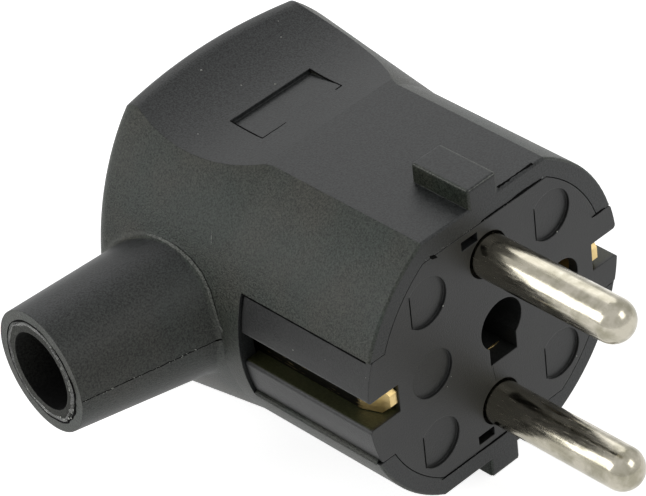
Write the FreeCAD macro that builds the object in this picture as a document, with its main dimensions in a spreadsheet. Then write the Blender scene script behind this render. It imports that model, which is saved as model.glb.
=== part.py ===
import FreeCAD, Part
import math
import os
import PartDesign
import Sketcher

# Right-angle earthed mains plug, type E and F hybrid, for a cable of up to 8.5 mm.
# Frame: the two pins point to -Y, the cable sleeve points to -X and the label side is up, +Z.
# The origin is the middle of the two pins, in the plane of the pin face.

DOCUMENT = FreeCAD.newDocument("angled_plug")
SHEET = DOCUMENT.addObject("Spreadsheet::Sheet", "sizes")

SIZES = {
    # Housing
    "body_radius": 18.5,
    "flat_height": 16.25,
    "front_length": 20.5,
    "body_length": 40.45,
    "rear_half_width": 19.9,
    "rear_half_height": 22.4,
    "rear_crown": 72.0,
    "rear_round": 1.7,
    "corner_round": 0.5,
    "front_round": 0.3,
    "grip_radius": 26.0,
    "grip_back": 13.15,
    "grip_low": 15.6,
    "side_wall": 2.0,
    "flat_wall": 2.35,
    "rear_wall": 4.0,
    "rib_width": 4.15,
    "rib_length": 7.75,
    "rib_round": 0.35,
    "left_window_half": 6.5,
    "right_window_half": 5.0,
    "window_length": 18.0,
    "boss_radius": 3.9,
    "label_half_width": 5.72,
    "label_ahead": 1.9,
    "label_behind": 2.8,
    "label_lift": 0.1,
    "label_depth": 0.35,
    # Cable sleeve
    "sleeve_tilt": 9.0,
    "sleeve_back": 11.45,
    "sleeve_root_radius": 8.7,
    "sleeve_end_radius": 6.9,
    "sleeve_length": 15.2,
    "sleeve_slant": 0.45,
    "sleeve_bore": 5.5,
    "sleeve_round": 0.8,
    "bush_bore": 4.43,
    "bush_length": 15.5,
    # Insert
    "fit_gap": 0.1,
    "seat_gap": 0.05,
    "left_cheek_inset": 0.4,
    "right_cheek_inset": 0.05,
    "cheek_round": 0.4,
    "slot_half_height": 1.72,
    "screw_hole_place": 1.0,
    "well_radius": 2.95,
    "well_depth": 12.0,
    "key_half_width": 1.95,
    "key_reach": 4.3,
    "key_depth": 6.0,
    "earth_place": 10.0,
    "earth_hole": 2.45,
    "earth_hole_lip": 1.2,
    "recess_place": 9.0,
    "recess_radius": 2.9,
    "recess_depth": 0.35,
    "recess_flat": 2.1,
    "blank_radius": 2.8,
    "vent_place": 2.4,
    "vent_rise": 12.55,
    "vent_width": 2.3,
    "vent_height": 1.1,
    "vent_depth": 5.0,
    # Pins
    "pin_spacing": 19.0,
    "pin_radius": 2.4,
    "pin_length": 19.0,
    "pin_ring": 0.25,
    "pin_ring_depth": 1.5,
    "pin_undercut": 0.1,
    "pin_collar_radius": 2.75,
    "pin_head_radius": 4.0,
    "pin_head_start": 10.0,
    "pin_neck_radius": 3.1,
    # Rear plate
    "plate_gap": 0.9,
    "plate_flat_gap": 0.4,
    "plate_thickness": 2.5,
    "saddle_in": 5.1,
    "saddle_length": 4.4,
    "saddle_wall": 0.5,
    "saddle_lip": 1.0,
    "cable_radius": 4.4,
    "post_radius": 2.3,
    "post_rise": 4.6,
    "clamp_thickness": 1.8,
    "clamp_ridge": 0.8,
    "clamp_ridge_width": 1.6,
    # Earth strip
    "strip_thickness": 1.0,
    "strip_sink": 2.45,
    "strip_half_width": 1.6,
    "strip_front": 0.25,
    "strip_lead": 3.3,
    "left_lead_in": 1.2,
    "right_lead_in": 0.35,
    "strip_corner": 0.9,
    "bridge_half_width": 3.4,
    "bridge_end": 1.2,
    "bend_round": 0.8,
    "socket_wall": 0.75,
    "socket_end_wall": 1.0,
    "rivet_radius": 1.6,
    "rivet_head_radius": 2.8,
    "rivet_head_height": 0.7,
    # Screws
    "terminal_screw_radius": 1.75,
    "terminal_head_radius": 2.9,
    "terminal_head_height": 2.0,
    "terminal_screw_length": 6.0,
    "washer_thickness": 0.8,
    "washer_half_height": 2.9,
    "washer_lip": 0.8,
    "earth_screw_place": 6.2,
    "earth_head_radius": 2.4,
    "earth_head_height": 1.8,
    "earth_washer_radius": 2.8,
    "nut_half_width": 2.75,
    "centre_screw_radius": 1.75,
    "centre_head_radius": 2.7,
    "centre_head_height": 2.4,
    "insert_radius": 2.6,
    "insert_length": 6.5,
    "screw_tail": 2.5,
    "small_screw_radius": 1.35,
    "small_head_radius": 2.2,
    "small_head_height": 1.7,
    "small_screw_length": 8.0,
    "retainer_screw_x": 7.0,
    "retainer_screw_z": 9.9,
    "slot_width": 0.8,
    "slot_depth": 0.9,
    "head_edge": 0.35,
}


class Length:
    """A length that knows its number and the sheet expression that gives it."""

    def __init__(self, number, text):
        self.number = float(number)
        self.text = text

    def _join(self, other, sign, number):
        return Length(number, "(%s %s %s)" % (self.text, sign, other.text))

    def __add__(self, other):
        other = as_length(other)
        return self._join(other, "+", self.number + other.number)

    def __radd__(self, other):
        return as_length(other) + self

    def __sub__(self, other):
        other = as_length(other)
        return self._join(other, "-", self.number - other.number)

    def __rsub__(self, other):
        return as_length(other) - self

    def __mul__(self, other):
        other = as_length(other)
        return self._join(other, "*", self.number * other.number)

    def __rmul__(self, other):
        return as_length(other) * self

    def __truediv__(self, other):
        other = as_length(other)
        return self._join(other, "/", self.number / other.number)

    def __neg__(self):
        return as_length(0) - self

    def root(self):
        return Length(math.sqrt(self.number), "sqrt(%s)" % self.text)

    def tangent(self):
        return Length(math.tan(math.radians(self.number)), "tan(%s)" % self.text)


def as_length(thing):
    """Take a plain number or a Length, and give a Length."""
    if isinstance(thing, Length):
        return thing
    return Length(thing, repr(float(thing)))


def chord(radius, height):
    """Half the chord of a circle at a height from its centre."""
    return (radius * radius - height * height).root()


def fill_sheet():
    """Write each driving size to its own cell, with its name as the alias."""
    for row, (alias, number) in enumerate(SIZES.items(), start=1):
        SHEET.set("A%d" % row, alias)
        SHEET.set("B%d" % row, str(number))
        SHEET.setAlias("B%d" % row, alias)
    DOCUMENT.recompute()


def size(alias):
    """The size of that name, bound to its cell."""
    return Length(SIZES[alias], "sizes.%s" % alias)


def bind(thing, path, length):
    """Tie one property of an object to the sheet."""
    thing.setExpression(path, as_length(length).text)


# Places that several pieces share


def cavity_radius():
    """The inside of the housing's barrel."""
    return size("body_radius") - size("side_wall")


def cavity_flat():
    """The height of the housing's inside under its flats."""
    return size("flat_height") - size("flat_wall")


def grip_place():
    """Where along the plug the finger scoop is lowest."""
    return size("body_length") - size("grip_back")


def sleeve_root_y():
    """Where along the plug the cable sleeve's axis leaves the barrel."""
    return size("body_length") - size("sleeve_back")


def saddle_place():
    """How far to the left of the middle the cable saddle stands."""
    return cavity_radius() - size("saddle_in")


def saddle_height():
    """The back of the cable saddle, just short of the cable's middle."""
    run = size("body_radius") - saddle_place()
    return sleeve_root_y() - run * size("sleeve_tilt").tangent() - size("saddle_lip")


def post_top():
    """The back of the two clamp posts."""
    return saddle_height() + size("post_rise")


def post_spread():
    """How far each clamp post stands from the cable's middle."""
    return size("cable_radius") + size("post_radius") - size("seat_gap") * 2


def strip_face():
    """The outer face of the earth strip's legs."""
    return size("body_radius") - size("strip_sink")


def strip_back():
    """The inner face of the earth strip's legs."""
    return strip_face() - size("strip_thickness")


def plate_radius():
    """The rear plate's round sides."""
    return cavity_radius() - size("plate_gap")


def plate_flat():
    """The rear plate's flats."""
    return cavity_flat() - size("plate_flat_gap")


def slot_floor(side):
    """The bottom of one of the insert's earth slots, just under the strip's bent-in tip."""
    return strip_back() - size(side + "_lead_in") - size("seat_gap")


# Sketch helpers


def plane_of(body, role):
    """One of the body's own origin planes."""
    for feature in body.Origin.OriginFeatures:
        if feature.Role == role:
            return feature
    raise ValueError(role)


def new_body(label):
    """A new body with the label that names its file."""
    body = DOCUMENT.addObject("PartDesign::Body", label)
    body.Label = label
    return body


def new_sketch(body, role, name, offset=0):
    """A sketch on one of the body's planes. An offset on XZ_Plane is its place along +Y."""
    sketch = body.newObject("Sketcher::SketchObject", name)
    sketch.AttachmentSupport = [(plane_of(body, role), "")]
    sketch.MapMode = "FlatFace"
    offset = as_length(offset)
    if role == "XZ_Plane":
        offset = -offset
    bind(sketch, "AttachmentOffset.Base.z", offset)
    return sketch


def limit(sketch, kind, *arguments):
    """Add a constraint whose last argument is a Length, bound to the sheet."""
    length = as_length(arguments[-1])
    index = sketch.addConstraint(Sketcher.Constraint(kind, *arguments[:-1], length.number))
    bind(sketch, "Constraints[%d]" % index, length)


def pin_point(sketch, edge, end, x, y):
    """Hold one point of an edge at x, y from the sketch's origin."""
    for kind, axis, length in (("DistanceX", -2, as_length(x)), ("DistanceY", -1, as_length(y))):
        if abs(length.number) < 1e-9:
            sketch.addConstraint(Sketcher.Constraint("PointOnObject", edge, end, axis))
        else:
            limit(sketch, kind, -1, 1, edge, end, length)


def draw_circle(sketch, radius, x=0, y=0):
    """A circle of that radius about x, y."""
    x = as_length(x)
    y = as_length(y)
    radius = as_length(radius)
    centre = FreeCAD.Vector(x.number, y.number, 0)
    edge = sketch.addGeometry(Part.Circle(centre, FreeCAD.Vector(0, 0, 1), radius.number))
    pin_point(sketch, edge, 3, x, y)
    limit(sketch, "Radius", edge, radius)
    return edge


def draw_polygon(sketch, points):
    """A closed outline of straight lines, each corner held at its x, y."""
    corners = [(as_length(x), as_length(y)) for x, y in points]
    vectors = [FreeCAD.Vector(x.number, y.number, 0) for x, y in corners]
    edges = []
    for index, start in enumerate(vectors):
        goal = vectors[(index + 1) % len(vectors)]
        edges.append(sketch.addGeometry(Part.LineSegment(start, goal)))
    join_in_order(sketch, edges)
    for edge, (x, y) in zip(edges, corners):
        pin_point(sketch, edge, 1, x, y)
    return edges


def join_in_order(sketch, edges, turned=()):
    """Join the edges end to start. A turned edge runs the other way round, as a clockwise arc does."""
    for index, edge in enumerate(edges):
        follower = edges[(index + 1) % len(edges)]
        end = 1 if edge in turned else 2
        start = 2 if follower in turned else 1
        sketch.addConstraint(Sketcher.Constraint("Coincident", edge, end, follower, start))


def arc_between(start, goal, centre):
    """The counter-clockwise arc from start to goal about a centre."""
    radius = (start - centre).Length
    first = math.atan2(start.y - centre.y, start.x - centre.x)
    last = math.atan2(goal.y - centre.y, goal.x - centre.x)
    if last < first:
        last += 2 * math.pi
    return Part.ArcOfCircle(Part.Circle(centre, FreeCAD.Vector(0, 0, 1), radius), first, last)


def level(sketch, edge, height):
    """Hold a line level at a height."""
    sketch.addConstraint(Sketcher.Constraint("Horizontal", edge))
    limit(sketch, "DistanceY", -1, 1, edge, 1, height)


def upright(sketch, edge, place):
    """Hold a line upright at a place across."""
    sketch.addConstraint(Sketcher.Constraint("Vertical", edge))
    limit(sketch, "DistanceX", -1, 1, edge, 1, place)


def draw_barrel(sketch, radius, height):
    """The plug's own outline: a circle about the origin, cut level at plus and minus a height."""
    radius = as_length(radius)
    height = as_length(height)
    half = chord(radius, height).number
    origin = FreeCAD.Vector(0, 0, 0)
    low_right = FreeCAD.Vector(half, -height.number, 0)
    high_right = FreeCAD.Vector(half, height.number, 0)
    high_left = FreeCAD.Vector(-half, height.number, 0)
    low_left = FreeCAD.Vector(-half, -height.number, 0)
    right = sketch.addGeometry(arc_between(low_right, high_right, origin))
    top = sketch.addGeometry(Part.LineSegment(high_right, high_left))
    left = sketch.addGeometry(arc_between(high_left, low_left, origin))
    bottom = sketch.addGeometry(Part.LineSegment(low_left, low_right))
    join_in_order(sketch, [right, top, left, bottom])
    for arc in (right, left):
        sketch.addConstraint(Sketcher.Constraint("Coincident", arc, 3, -1, 1))
        limit(sketch, "Radius", arc, radius)
    level(sketch, top, height)
    level(sketch, bottom, -height)


def draw_ellipse(sketch, half_width, half_height):
    """An upright ellipse about the origin."""
    half_width = as_length(half_width)
    half_height = as_length(half_height)
    tip = FreeCAD.Vector(0, half_height.number, 0)
    side = FreeCAD.Vector(half_width.number, 0, 0)
    origin = FreeCAD.Vector(0, 0, 0)
    edge = sketch.addGeometry(Part.Ellipse(tip, side, origin))
    sketch.exposeInternalGeometry(edge)
    sketch.addConstraint(Sketcher.Constraint("Coincident", edge, 3, -1, 1))
    sketch.addConstraint(Sketcher.Constraint("Vertical", edge + 1))
    limit(sketch, "Distance", edge + 1, half_height * 2)
    limit(sketch, "Distance", edge + 2, half_width * 2)


def box_points(low_x, high_x, low_y, high_y):
    """The four corners of a rectangle."""
    return [(low_x, low_y), (high_x, low_y), (high_x, high_y), (low_x, high_y)]


# Feature helpers


def pad(body, sketch, length, name, backward=False):
    """Add material from a sketch. On XZ_Plane it grows towards +Y unless backward."""
    feature = body.newObject("PartDesign::Pad", name)
    feature.Profile = sketch
    bind(feature, "Length", length)
    feature.Reversed = not backward
    body.Tip = feature
    return feature


def pocket(body, sketch, length, name, backward=False):
    """Cut material away. On XZ_Plane it cuts towards +Y unless backward."""
    feature = body.newObject("PartDesign::Pocket", name)
    feature.Profile = sketch
    bind(feature, "Length", length)
    feature.Reversed = backward
    body.Tip = feature
    return feature


def turn(body, sketch, name, kind="PartDesign::Revolution", axis="H_Axis"):
    """Turn a sketch about one of its own axes, to add or to cut."""
    feature = body.newObject(kind, name)
    feature.Profile = sketch
    feature.ReferenceAxis = (sketch, [axis])
    feature.Angle = 360
    body.Tip = feature
    return feature


def mirror(body, originals, role, name):
    """Repeat features on the other side of one of the body's planes."""
    feature = body.newObject("PartDesign::Mirrored", name)
    feature.Originals = originals
    feature.MirrorPlane = (plane_of(body, role), [""])
    body.Tip = feature
    return feature


def soften(body, radius, name, test):
    """Round the edges of the body's last feature that a test picks."""
    DOCUMENT.recompute()
    base = body.Tip
    names = ["Edge%d" % (i + 1) for i, edge in enumerate(base.Shape.Edges) if test(edge)]
    if not names:
        raise ValueError("no edges for %s" % name)
    feature = body.newObject("PartDesign::Fillet", name)
    feature.Base = (base, names)
    feature.Refine = False
    bind(feature, "Radius", radius)
    body.Tip = feature
    return feature


def middle(edge):
    """The point half-way along an edge."""
    low, high = edge.ParameterRange
    return edge.valueAt((low + high) / 2)


def near(first, second, slack=0.02):
    """Whether two numbers agree within a small slack."""
    return abs(first - second) < slack


# The housing


def draw_grip(sketch):
    """The side view of what the flats and the scooped grip take off the top of the barrel."""
    flat = size("flat_height")
    radius = size("grip_radius")
    place = grip_place()
    rise = size("grip_low") + radius
    front = as_length(-1)
    rear = size("body_length") + 1
    top = size("rear_half_height") + 1
    crease = place - (radius * radius - (rise - flat) * (rise - flat)).root()
    rear_cut = rise - (radius * radius - (rear - place) * (rear - place)).root()
    centre = FreeCAD.Vector(place.number, rise.number, 0)
    start = FreeCAD.Vector(crease.number, flat.number, 0)
    goal = FreeCAD.Vector(rear.number, rear_cut.number, 0)
    rear_top = FreeCAD.Vector(rear.number, top.number, 0)
    front_top = FreeCAD.Vector(front.number, top.number, 0)
    front_low = FreeCAD.Vector(front.number, flat.number, 0)
    flat_line = sketch.addGeometry(Part.LineSegment(front_low, start))
    scoop = sketch.addGeometry(arc_between(start, goal, centre))
    rear_line = sketch.addGeometry(Part.LineSegment(goal, rear_top))
    top_line = sketch.addGeometry(Part.LineSegment(rear_top, front_top))
    front_line = sketch.addGeometry(Part.LineSegment(front_top, front_low))
    join_in_order(sketch, [flat_line, scoop, rear_line, top_line, front_line])
    pin_point(sketch, scoop, 3, place, rise)
    limit(sketch, "Radius", scoop, radius)
    level(sketch, flat_line, flat)
    level(sketch, top_line, top)
    upright(sketch, rear_line, rear)
    upright(sketch, front_line, front)


def sleeve_sketch(body, name):
    """A sketch whose first axis runs out along the cable sleeve, from its root."""
    sketch = body.newObject("Sketcher::SketchObject", name)
    sketch.AttachmentSupport = [(plane_of(body, "XY_Plane"), "")]
    sketch.MapMode = "FlatFace"
    upwards = FreeCAD.Vector(0, 0, 1)
    sketch.AttachmentOffset = FreeCAD.Placement(FreeCAD.Vector(), FreeCAD.Rotation(upwards, 171))
    bind(sketch, "AttachmentOffset.Base.x", -size("body_radius"))
    bind(sketch, "AttachmentOffset.Base.y", sleeve_root_y())
    bind(sketch, "AttachmentOffset.Rotation.Angle", 180 - size("sleeve_tilt"))
    return sketch


def build_housing():
    """The one-piece cover: barrel, flared grip end, ribs, cable sleeve, side windows and boss."""
    body = new_body("housing")
    radius = size("body_radius")
    flat = size("flat_height")
    front = size("front_length")
    length = size("body_length")

    barrel = new_sketch(body, "XZ_Plane", "barrel_outline")
    draw_circle(barrel, radius)
    pad(body, barrel, front, "barrel")

    flare_start = new_sketch(body, "XZ_Plane", "flare_start", front)
    draw_circle(flare_start, radius)
    flare_end = new_sketch(body, "XZ_Plane", "flare_end", length)
    draw_ellipse(flare_end, size("rear_half_width"), size("rear_half_height"))
    flare = body.newObject("PartDesign::AdditiveLoft", "flare")
    flare.Profile = flare_start
    flare.Sections = [flare_end]
    flare.Ruled = True
    body.Tip = flare

    grip = new_sketch(body, "YZ_Plane", "grip_side")
    draw_grip(grip)
    grip_cut = pocket(body, grip, radius * 4, "grip_cut")
    grip_cut.Midplane = True
    mirror(body, [grip_cut], "XY_Plane", "grip_cut_below")
    crown = new_sketch(body, "XY_Plane", "rear_crown")
    draw_crown(crown)
    crown_cut = pocket(body, crown, radius * 4, "crown_cut")
    crown_cut.Midplane = True
    soften(body, size("rear_round"), "rear_rim_round", is_rear_edge)
    soften(body, size("front_round"), "front_rim_round", is_front_edge)

    sleeve = sleeve_sketch(body, "sleeve_side")
    inner = -(size("sleeve_root_radius"))
    end = size("sleeve_length") + size("sleeve_slant")
    draw_polygon(sleeve, [
        (inner, 0),
        (end, 0),
        (end, size("sleeve_end_radius")),
        (inner, size("sleeve_root_radius")),
    ])
    turn(body, sleeve, "sleeve")
    slant_end(body)
    round_sleeve_root(body)

    rib = new_sketch(body, "XZ_Plane", "rib_outline")
    half_rib = size("rib_width") / 2
    draw_polygon(rib, box_points(-half_rib, half_rib, flat - 1, radius))
    ribs = pad(body, rib, size("rib_length"), "rib")
    mirror(body, [ribs], "XY_Plane", "rib_below")
    soften(body, size("rib_round"), "rib_rounds", is_rib_edge)

    cavity = new_sketch(body, "XZ_Plane", "cavity_outline")
    draw_barrel(cavity, cavity_radius(), cavity_flat())
    pocket(body, cavity, length - size("rear_wall"), "cavity")

    boss = new_sketch(body, "XZ_Plane", "boss_outline", boss_front())
    draw_circle(boss, size("boss_radius"), size("screw_hole_place"))
    pad(body, boss, length - size("rear_wall") / 2 - boss_front(), "boss")
    seat = new_sketch(body, "XZ_Plane", "insert_seat", boss_front())
    draw_circle(seat, size("insert_radius") + size("seat_gap"), size("screw_hole_place"))
    pocket(body, seat, size("insert_length"), "insert_bore")
    relief = new_sketch(body, "XZ_Plane", "screw_relief", boss_front())
    draw_circle(relief, size("centre_screw_radius") + size("seat_gap"), size("screw_hole_place"))
    pocket(body, relief, size("insert_length") + size("screw_tail"), "screw_relief_bore")

    label = new_sketch(body, "YZ_Plane", "label_side")
    label_front = grip_place() - size("label_ahead")
    label_rear = grip_place() + size("label_behind")
    draw_polygon(label, [
        (label_front, size("grip_low") + size("label_lift")),
        (label_rear, size("grip_low") - size("label_depth")),
        (label_rear, flat + 2),
        (label_front, flat + 2),
    ])
    panel = pocket(body, label, size("label_half_width") * 2, "label_panel")
    panel.Midplane = True

    window = new_sketch(body, "XZ_Plane", "window_outline")
    left_half = size("left_window_half")
    right_half = size("right_window_half")
    middle_line = size("boss_radius")
    draw_polygon(window, box_points(-radius - 1, -middle_line, -left_half, left_half))
    draw_polygon(window, box_points(middle_line, radius + 1, -right_half, right_half))
    pocket(body, window, size("window_length"), "windows")

    bore = sleeve_sketch(body, "sleeve_bore_side")
    draw_polygon(bore, box_points(inner, end + 1, 0, size("sleeve_bore")))
    turn(body, bore, "sleeve_bore", "PartDesign::Groove")
    return body


def boss_front():
    """Where the housing's screw boss starts: just behind the earth strip's bridge."""
    return bridge_back() + size("fit_gap")


def round_sleeve_root(body):
    """Blend the cable sleeve into the flared side of the housing."""
    place = FreeCAD.Vector(-SIZES["body_radius"], sleeve_root_y().number, 0)
    lean = math.radians(180 - SIZES["sleeve_tilt"])
    along = FreeCAD.Vector(math.cos(lean), math.sin(lean), 0)
    inner = -SIZES["sleeve_root_radius"]
    run = SIZES["sleeve_length"] + SIZES["sleeve_slant"] - inner
    taper = (SIZES["sleeve_root_radius"] - SIZES["sleeve_end_radius"]) / run

    def is_root(edge):
        if isinstance(edge.Curve, Part.Line):
            return False
        for point in edge.discretize(7):
            arm = point - place
            out = arm.dot(along)
            reach = (arm - along * out).Length
            cone = SIZES["sleeve_root_radius"] - taper * (out - inner)
            if not near(reach, cone) or out > SIZES["sleeve_length"] / 2:
                return False
        return True

    soften(body, size("sleeve_round"), "sleeve_root_round", is_root)


def rear_place(x):
    """Where along the plug its crowned rear end lies, at a place across."""
    crown = SIZES["rear_crown"]
    return SIZES["body_length"] - crown + math.sqrt(crown * crown - x * x)


def is_rear_edge(edge):
    """An edge that lies wholly in the crowned rear end."""
    return all(near(point.y, rear_place(point.x)) for point in edge.discretize(9))


def is_front_edge(edge):
    """An edge that lies wholly in the front plane."""
    return all(near(point.y, 0) for point in edge.discretize(5))


def is_corner_edge(edge):
    """A long corner between a flat or scoop and the round side, from the front to the rear end."""
    first, *inner, last = sorted(edge.discretize(9), key=lambda point: point.y)
    if last.y - first.y < 2:
        return False
    half = math.sqrt(SIZES["body_radius"] ** 2 - SIZES["flat_height"] ** 2)
    return all(abs(point.x) > half - 0.5 and abs(point.z) > SIZES["grip_low"] - 1 for point in inner)


def is_rib_edge(edge):
    """An edge of a rib's top or of its upright rear corners."""
    half = SIZES["rib_width"] / 2
    points = edge.discretize(5)
    inside = all(abs(point.x) < half + 0.02 and point.y < SIZES["rib_length"] + 0.02 for point in points)
    top = any(near(abs(point.z), SIZES["body_radius"]) for point in points)
    return top and inside and abs(middle(edge).z) > SIZES["flat_height"] + 0.5


def draw_crown(sketch):
    """What the crowned rear end takes off, seen from above."""
    length = size("body_length")
    crown = size("rear_crown")
    half = size("rear_half_width") + 1
    low = length - crown + chord(crown, half)
    top = length + 1
    right = FreeCAD.Vector(half.number, low.number, 0)
    left = FreeCAD.Vector(-half.number, low.number, 0)
    centre = FreeCAD.Vector(0, (length - crown).number, 0)
    arc = sketch.addGeometry(arc_between(right, left, centre))
    left_top = FreeCAD.Vector(-half.number, top.number, 0)
    right_top = FreeCAD.Vector(half.number, top.number, 0)
    left_line = sketch_line(sketch, left, left_top)
    top_line = sketch_line(sketch, left_top, right_top)
    right_line = sketch_line(sketch, right_top, right)
    join_in_order(sketch, [arc, left_line, top_line, right_line])
    pin_point(sketch, arc, 3, 0, length - crown)
    limit(sketch, "Radius", arc, crown)
    level(sketch, top_line, top)
    upright(sketch, left_line, -half)
    upright(sketch, right_line, half)


def slant_end(body):
    """Cut the cable sleeve's end a little out of square, as it is on the real one."""
    end = size("sleeve_length")
    slant = size("sleeve_slant")
    reach = size("sleeve_end_radius") + 2
    trim = sleeve_sketch(body, "end_trim")
    draw_polygon(trim, [
        (end - slant, reach),
        (end + slant, -reach),
        (end + slant + 3, -reach),
        (end + slant + 3, reach),
    ])
    trim_cut = pocket(body, trim, reach * 4, "end_trim_cut")
    trim_cut.Midplane = True


# The insert


def build_carrier():
    """The insert that fills the housing's front: pin holes, earth slots, well and recesses."""
    body = new_body("contact_carrier")
    radius = cavity_radius() - size("fit_gap")
    flat = cavity_flat() - size("fit_gap")
    depth = size("window_length")
    half_spacing = size("pin_spacing") / 2

    block = new_sketch(body, "XZ_Plane", "block_outline")
    draw_barrel(block, radius, flat)
    pad(body, block, depth, "block")

    for side, across in (("left", -1), ("right", 1)):
        cheek = new_sketch(body, "XZ_Plane", side + "_cheek_outline")
        reach = size("body_radius") - size(side + "_cheek_inset")
        draw_cheek(cheek, across, reach, size(side + "_window_half") - size("fit_gap"))
        pad(body, cheek, depth - size("fit_gap"), side + "_cheek")

    slot = new_sketch(body, "XZ_Plane", "slot_outline")
    reach = size("body_radius") + 1
    half_slot = size("slot_half_height")
    draw_polygon(slot, box_points(slot_floor("right"), reach, -half_slot, half_slot))
    draw_polygon(slot, box_points(-reach, -slot_floor("left"), -half_slot, half_slot))
    pocket(body, slot, depth + 1, "earth_slots")

    soften(body, size("cheek_round"), "cheek_rounds", is_cheek_edge)

    bores = new_sketch(body, "XZ_Plane", "pin_bores", size("pin_ring_depth"))
    rings = new_sketch(body, "XZ_Plane", "pin_rings")
    wells = new_sketch(body, "XZ_Plane", "head_wells", size("pin_head_start"))
    for rise in (half_spacing, -half_spacing):
        draw_circle(bores, size("pin_collar_radius") + size("seat_gap"), 0, rise)
        draw_circle(rings, size("pin_radius") + size("pin_ring"), 0, rise)
        draw_circle(wells, size("pin_head_radius") + size("fit_gap"), 0, rise)
    pocket(body, bores, depth + 1, "pin_bore_cut")
    pocket(body, rings, size("pin_ring_depth"), "pin_ring_cut")
    pocket(body, wells, depth, "head_well_cut")

    place = size("screw_hole_place")
    well = new_sketch(body, "XZ_Plane", "well_outline")
    draw_circle(well, size("well_radius"), place)
    pocket(body, well, size("well_depth"), "well")
    key = new_sketch(body, "XZ_Plane", "key_outline")
    half_key = size("key_half_width")
    draw_polygon(key, box_points(place - half_key, place + half_key, -size("key_reach"), 0))
    pocket(body, key, size("key_depth"), "key")
    shaft = new_sketch(body, "XZ_Plane", "shaft_outline")
    draw_circle(shaft, size("centre_screw_radius") + size("fit_gap"), place)
    pocket(body, shaft, depth + 1, "shaft_hole")

    earth = new_sketch(body, "XZ_Plane", "earth_hole_outline")
    draw_circle(earth, size("earth_hole"), size("earth_place"))
    pocket(body, earth, depth + 1, "earth_hole_cut")
    socket = new_sketch(body, "XZ_Plane", "socket_seat", size("earth_hole_lip"))
    draw_circle(socket, socket_radius() + size("seat_gap"), size("earth_place"))
    pocket(body, socket, depth, "socket_bore")

    blank = new_sketch(body, "XZ_Plane", "blank_outline")
    draw_circle(blank, size("blank_radius"), -size("recess_place"))
    pocket(body, blank, size("recess_depth"), "blank_recess")
    for number, (across, up) in enumerate(((-1, 1), (-1, -1), (1, 1), (1, -1)), start=1):
        recess = new_sketch(body, "XZ_Plane", "recess_outline_%d" % number)
        draw_recess(recess, size("recess_place") * across, size("recess_place") * up)
        pocket(body, recess, size("recess_depth"), "recess_%d" % number)

    vents = new_sketch(body, "XZ_Plane", "vent_outline")
    half_width = size("vent_width") / 2
    half_height = size("vent_height") / 2
    for rise in (size("vent_rise"), -size("vent_rise")):
        draw_polygon(vents, box_points(
            -size("vent_place") - half_width,
            -size("vent_place") + half_width,
            rise - half_height,
            rise + half_height,
        ))
    pocket(body, vents, size("vent_depth"), "vents")

    pilots = new_sketch(body, "XZ_Plane", "pilot_outline", depth - pilot_depth())
    pilot = size("small_screw_radius") + size("seat_gap")
    draw_circle(pilots, pilot, -size("retainer_screw_x"), size("retainer_screw_z"))
    draw_circle(pilots, pilot, size("retainer_screw_x"), -size("retainer_screw_z"))
    pocket(body, pilots, pilot_depth() + 1, "pilots")
    return body


def draw_cheek(sketch, across, radius, height):
    """One side of the insert that fills a window: a level strip with a round outer end."""
    half = chord(radius, height)
    inner = size("boss_radius") * across
    outer = half * across
    origin = FreeCAD.Vector(0, 0, 0)
    low_inner = FreeCAD.Vector(inner.number, -height.number, 0)
    low_outer = FreeCAD.Vector(outer.number, -height.number, 0)
    high_outer = FreeCAD.Vector(outer.number, height.number, 0)
    high_inner = FreeCAD.Vector(inner.number, height.number, 0)
    if across > 0:
        ends = (low_outer, high_outer)
        first = sketch_line(sketch, low_inner, low_outer)
        third = sketch_line(sketch, high_outer, high_inner)
        fourth = sketch_line(sketch, high_inner, low_inner)
    else:
        ends = (high_outer, low_outer)
        first = sketch_line(sketch, high_inner, high_outer)
        third = sketch_line(sketch, low_outer, low_inner)
        fourth = sketch_line(sketch, low_inner, high_inner)
    arc = sketch.addGeometry(arc_between(*ends, origin))
    join_in_order(sketch, [first, arc, third, fourth])
    sketch.addConstraint(Sketcher.Constraint("Coincident", arc, 3, -1, 1))
    limit(sketch, "Radius", arc, radius)
    level(sketch, first, -height if across > 0 else height)
    level(sketch, third, height if across > 0 else -height)
    upright(sketch, fourth, inner)


def is_cheek_edge(edge):
    """A long outer corner of a cheek, at its top, its bottom or beside its earth slot."""
    points = edge.discretize(5)
    run = max(point.y for point in points) - min(point.y for point in points)
    spread = max(point.z for point in points) - min(point.z for point in points)
    reach = min(math.hypot(point.x, point.z) for point in points)
    outer = SIZES["body_radius"] - SIZES["left_cheek_inset"] - 0.02
    return run > SIZES["window_length"] - 1 and spread < 0.02 and reach > outer


def pilot_depth():
    """How far a retainer screw reaches into the insert, with room at its tip."""
    return size("small_screw_length") - size("plate_thickness") + 0.5


def socket_radius():
    """The outer radius of the earth pin's brass socket."""
    return size("earth_hole") + size("socket_wall")


def plate_back():
    """Where the rear plate ends."""
    return size("window_length") + size("plate_thickness")


def bridge_back():
    """Where the earth strip's bridge ends, behind the rear plate."""
    return plate_back() + size("strip_thickness")


def draw_recess(sketch, x, y):
    """A shallow round recess with a flat on its left."""
    radius = size("recess_radius")
    flat = size("recess_flat")
    half = chord(radius, flat)
    centre = FreeCAD.Vector(x.number, y.number, 0)
    low = FreeCAD.Vector((x - flat).number, (y - half).number, 0)
    high = FreeCAD.Vector((x - flat).number, (y + half).number, 0)
    arc = sketch.addGeometry(arc_between(low, high, centre))
    line = sketch.addGeometry(Part.LineSegment(high, low))
    join_in_order(sketch, [arc, line])
    pin_point(sketch, arc, 3, x, y)
    limit(sketch, "Radius", arc, radius)
    upright(sketch, line, x - flat)


# Pins


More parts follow.
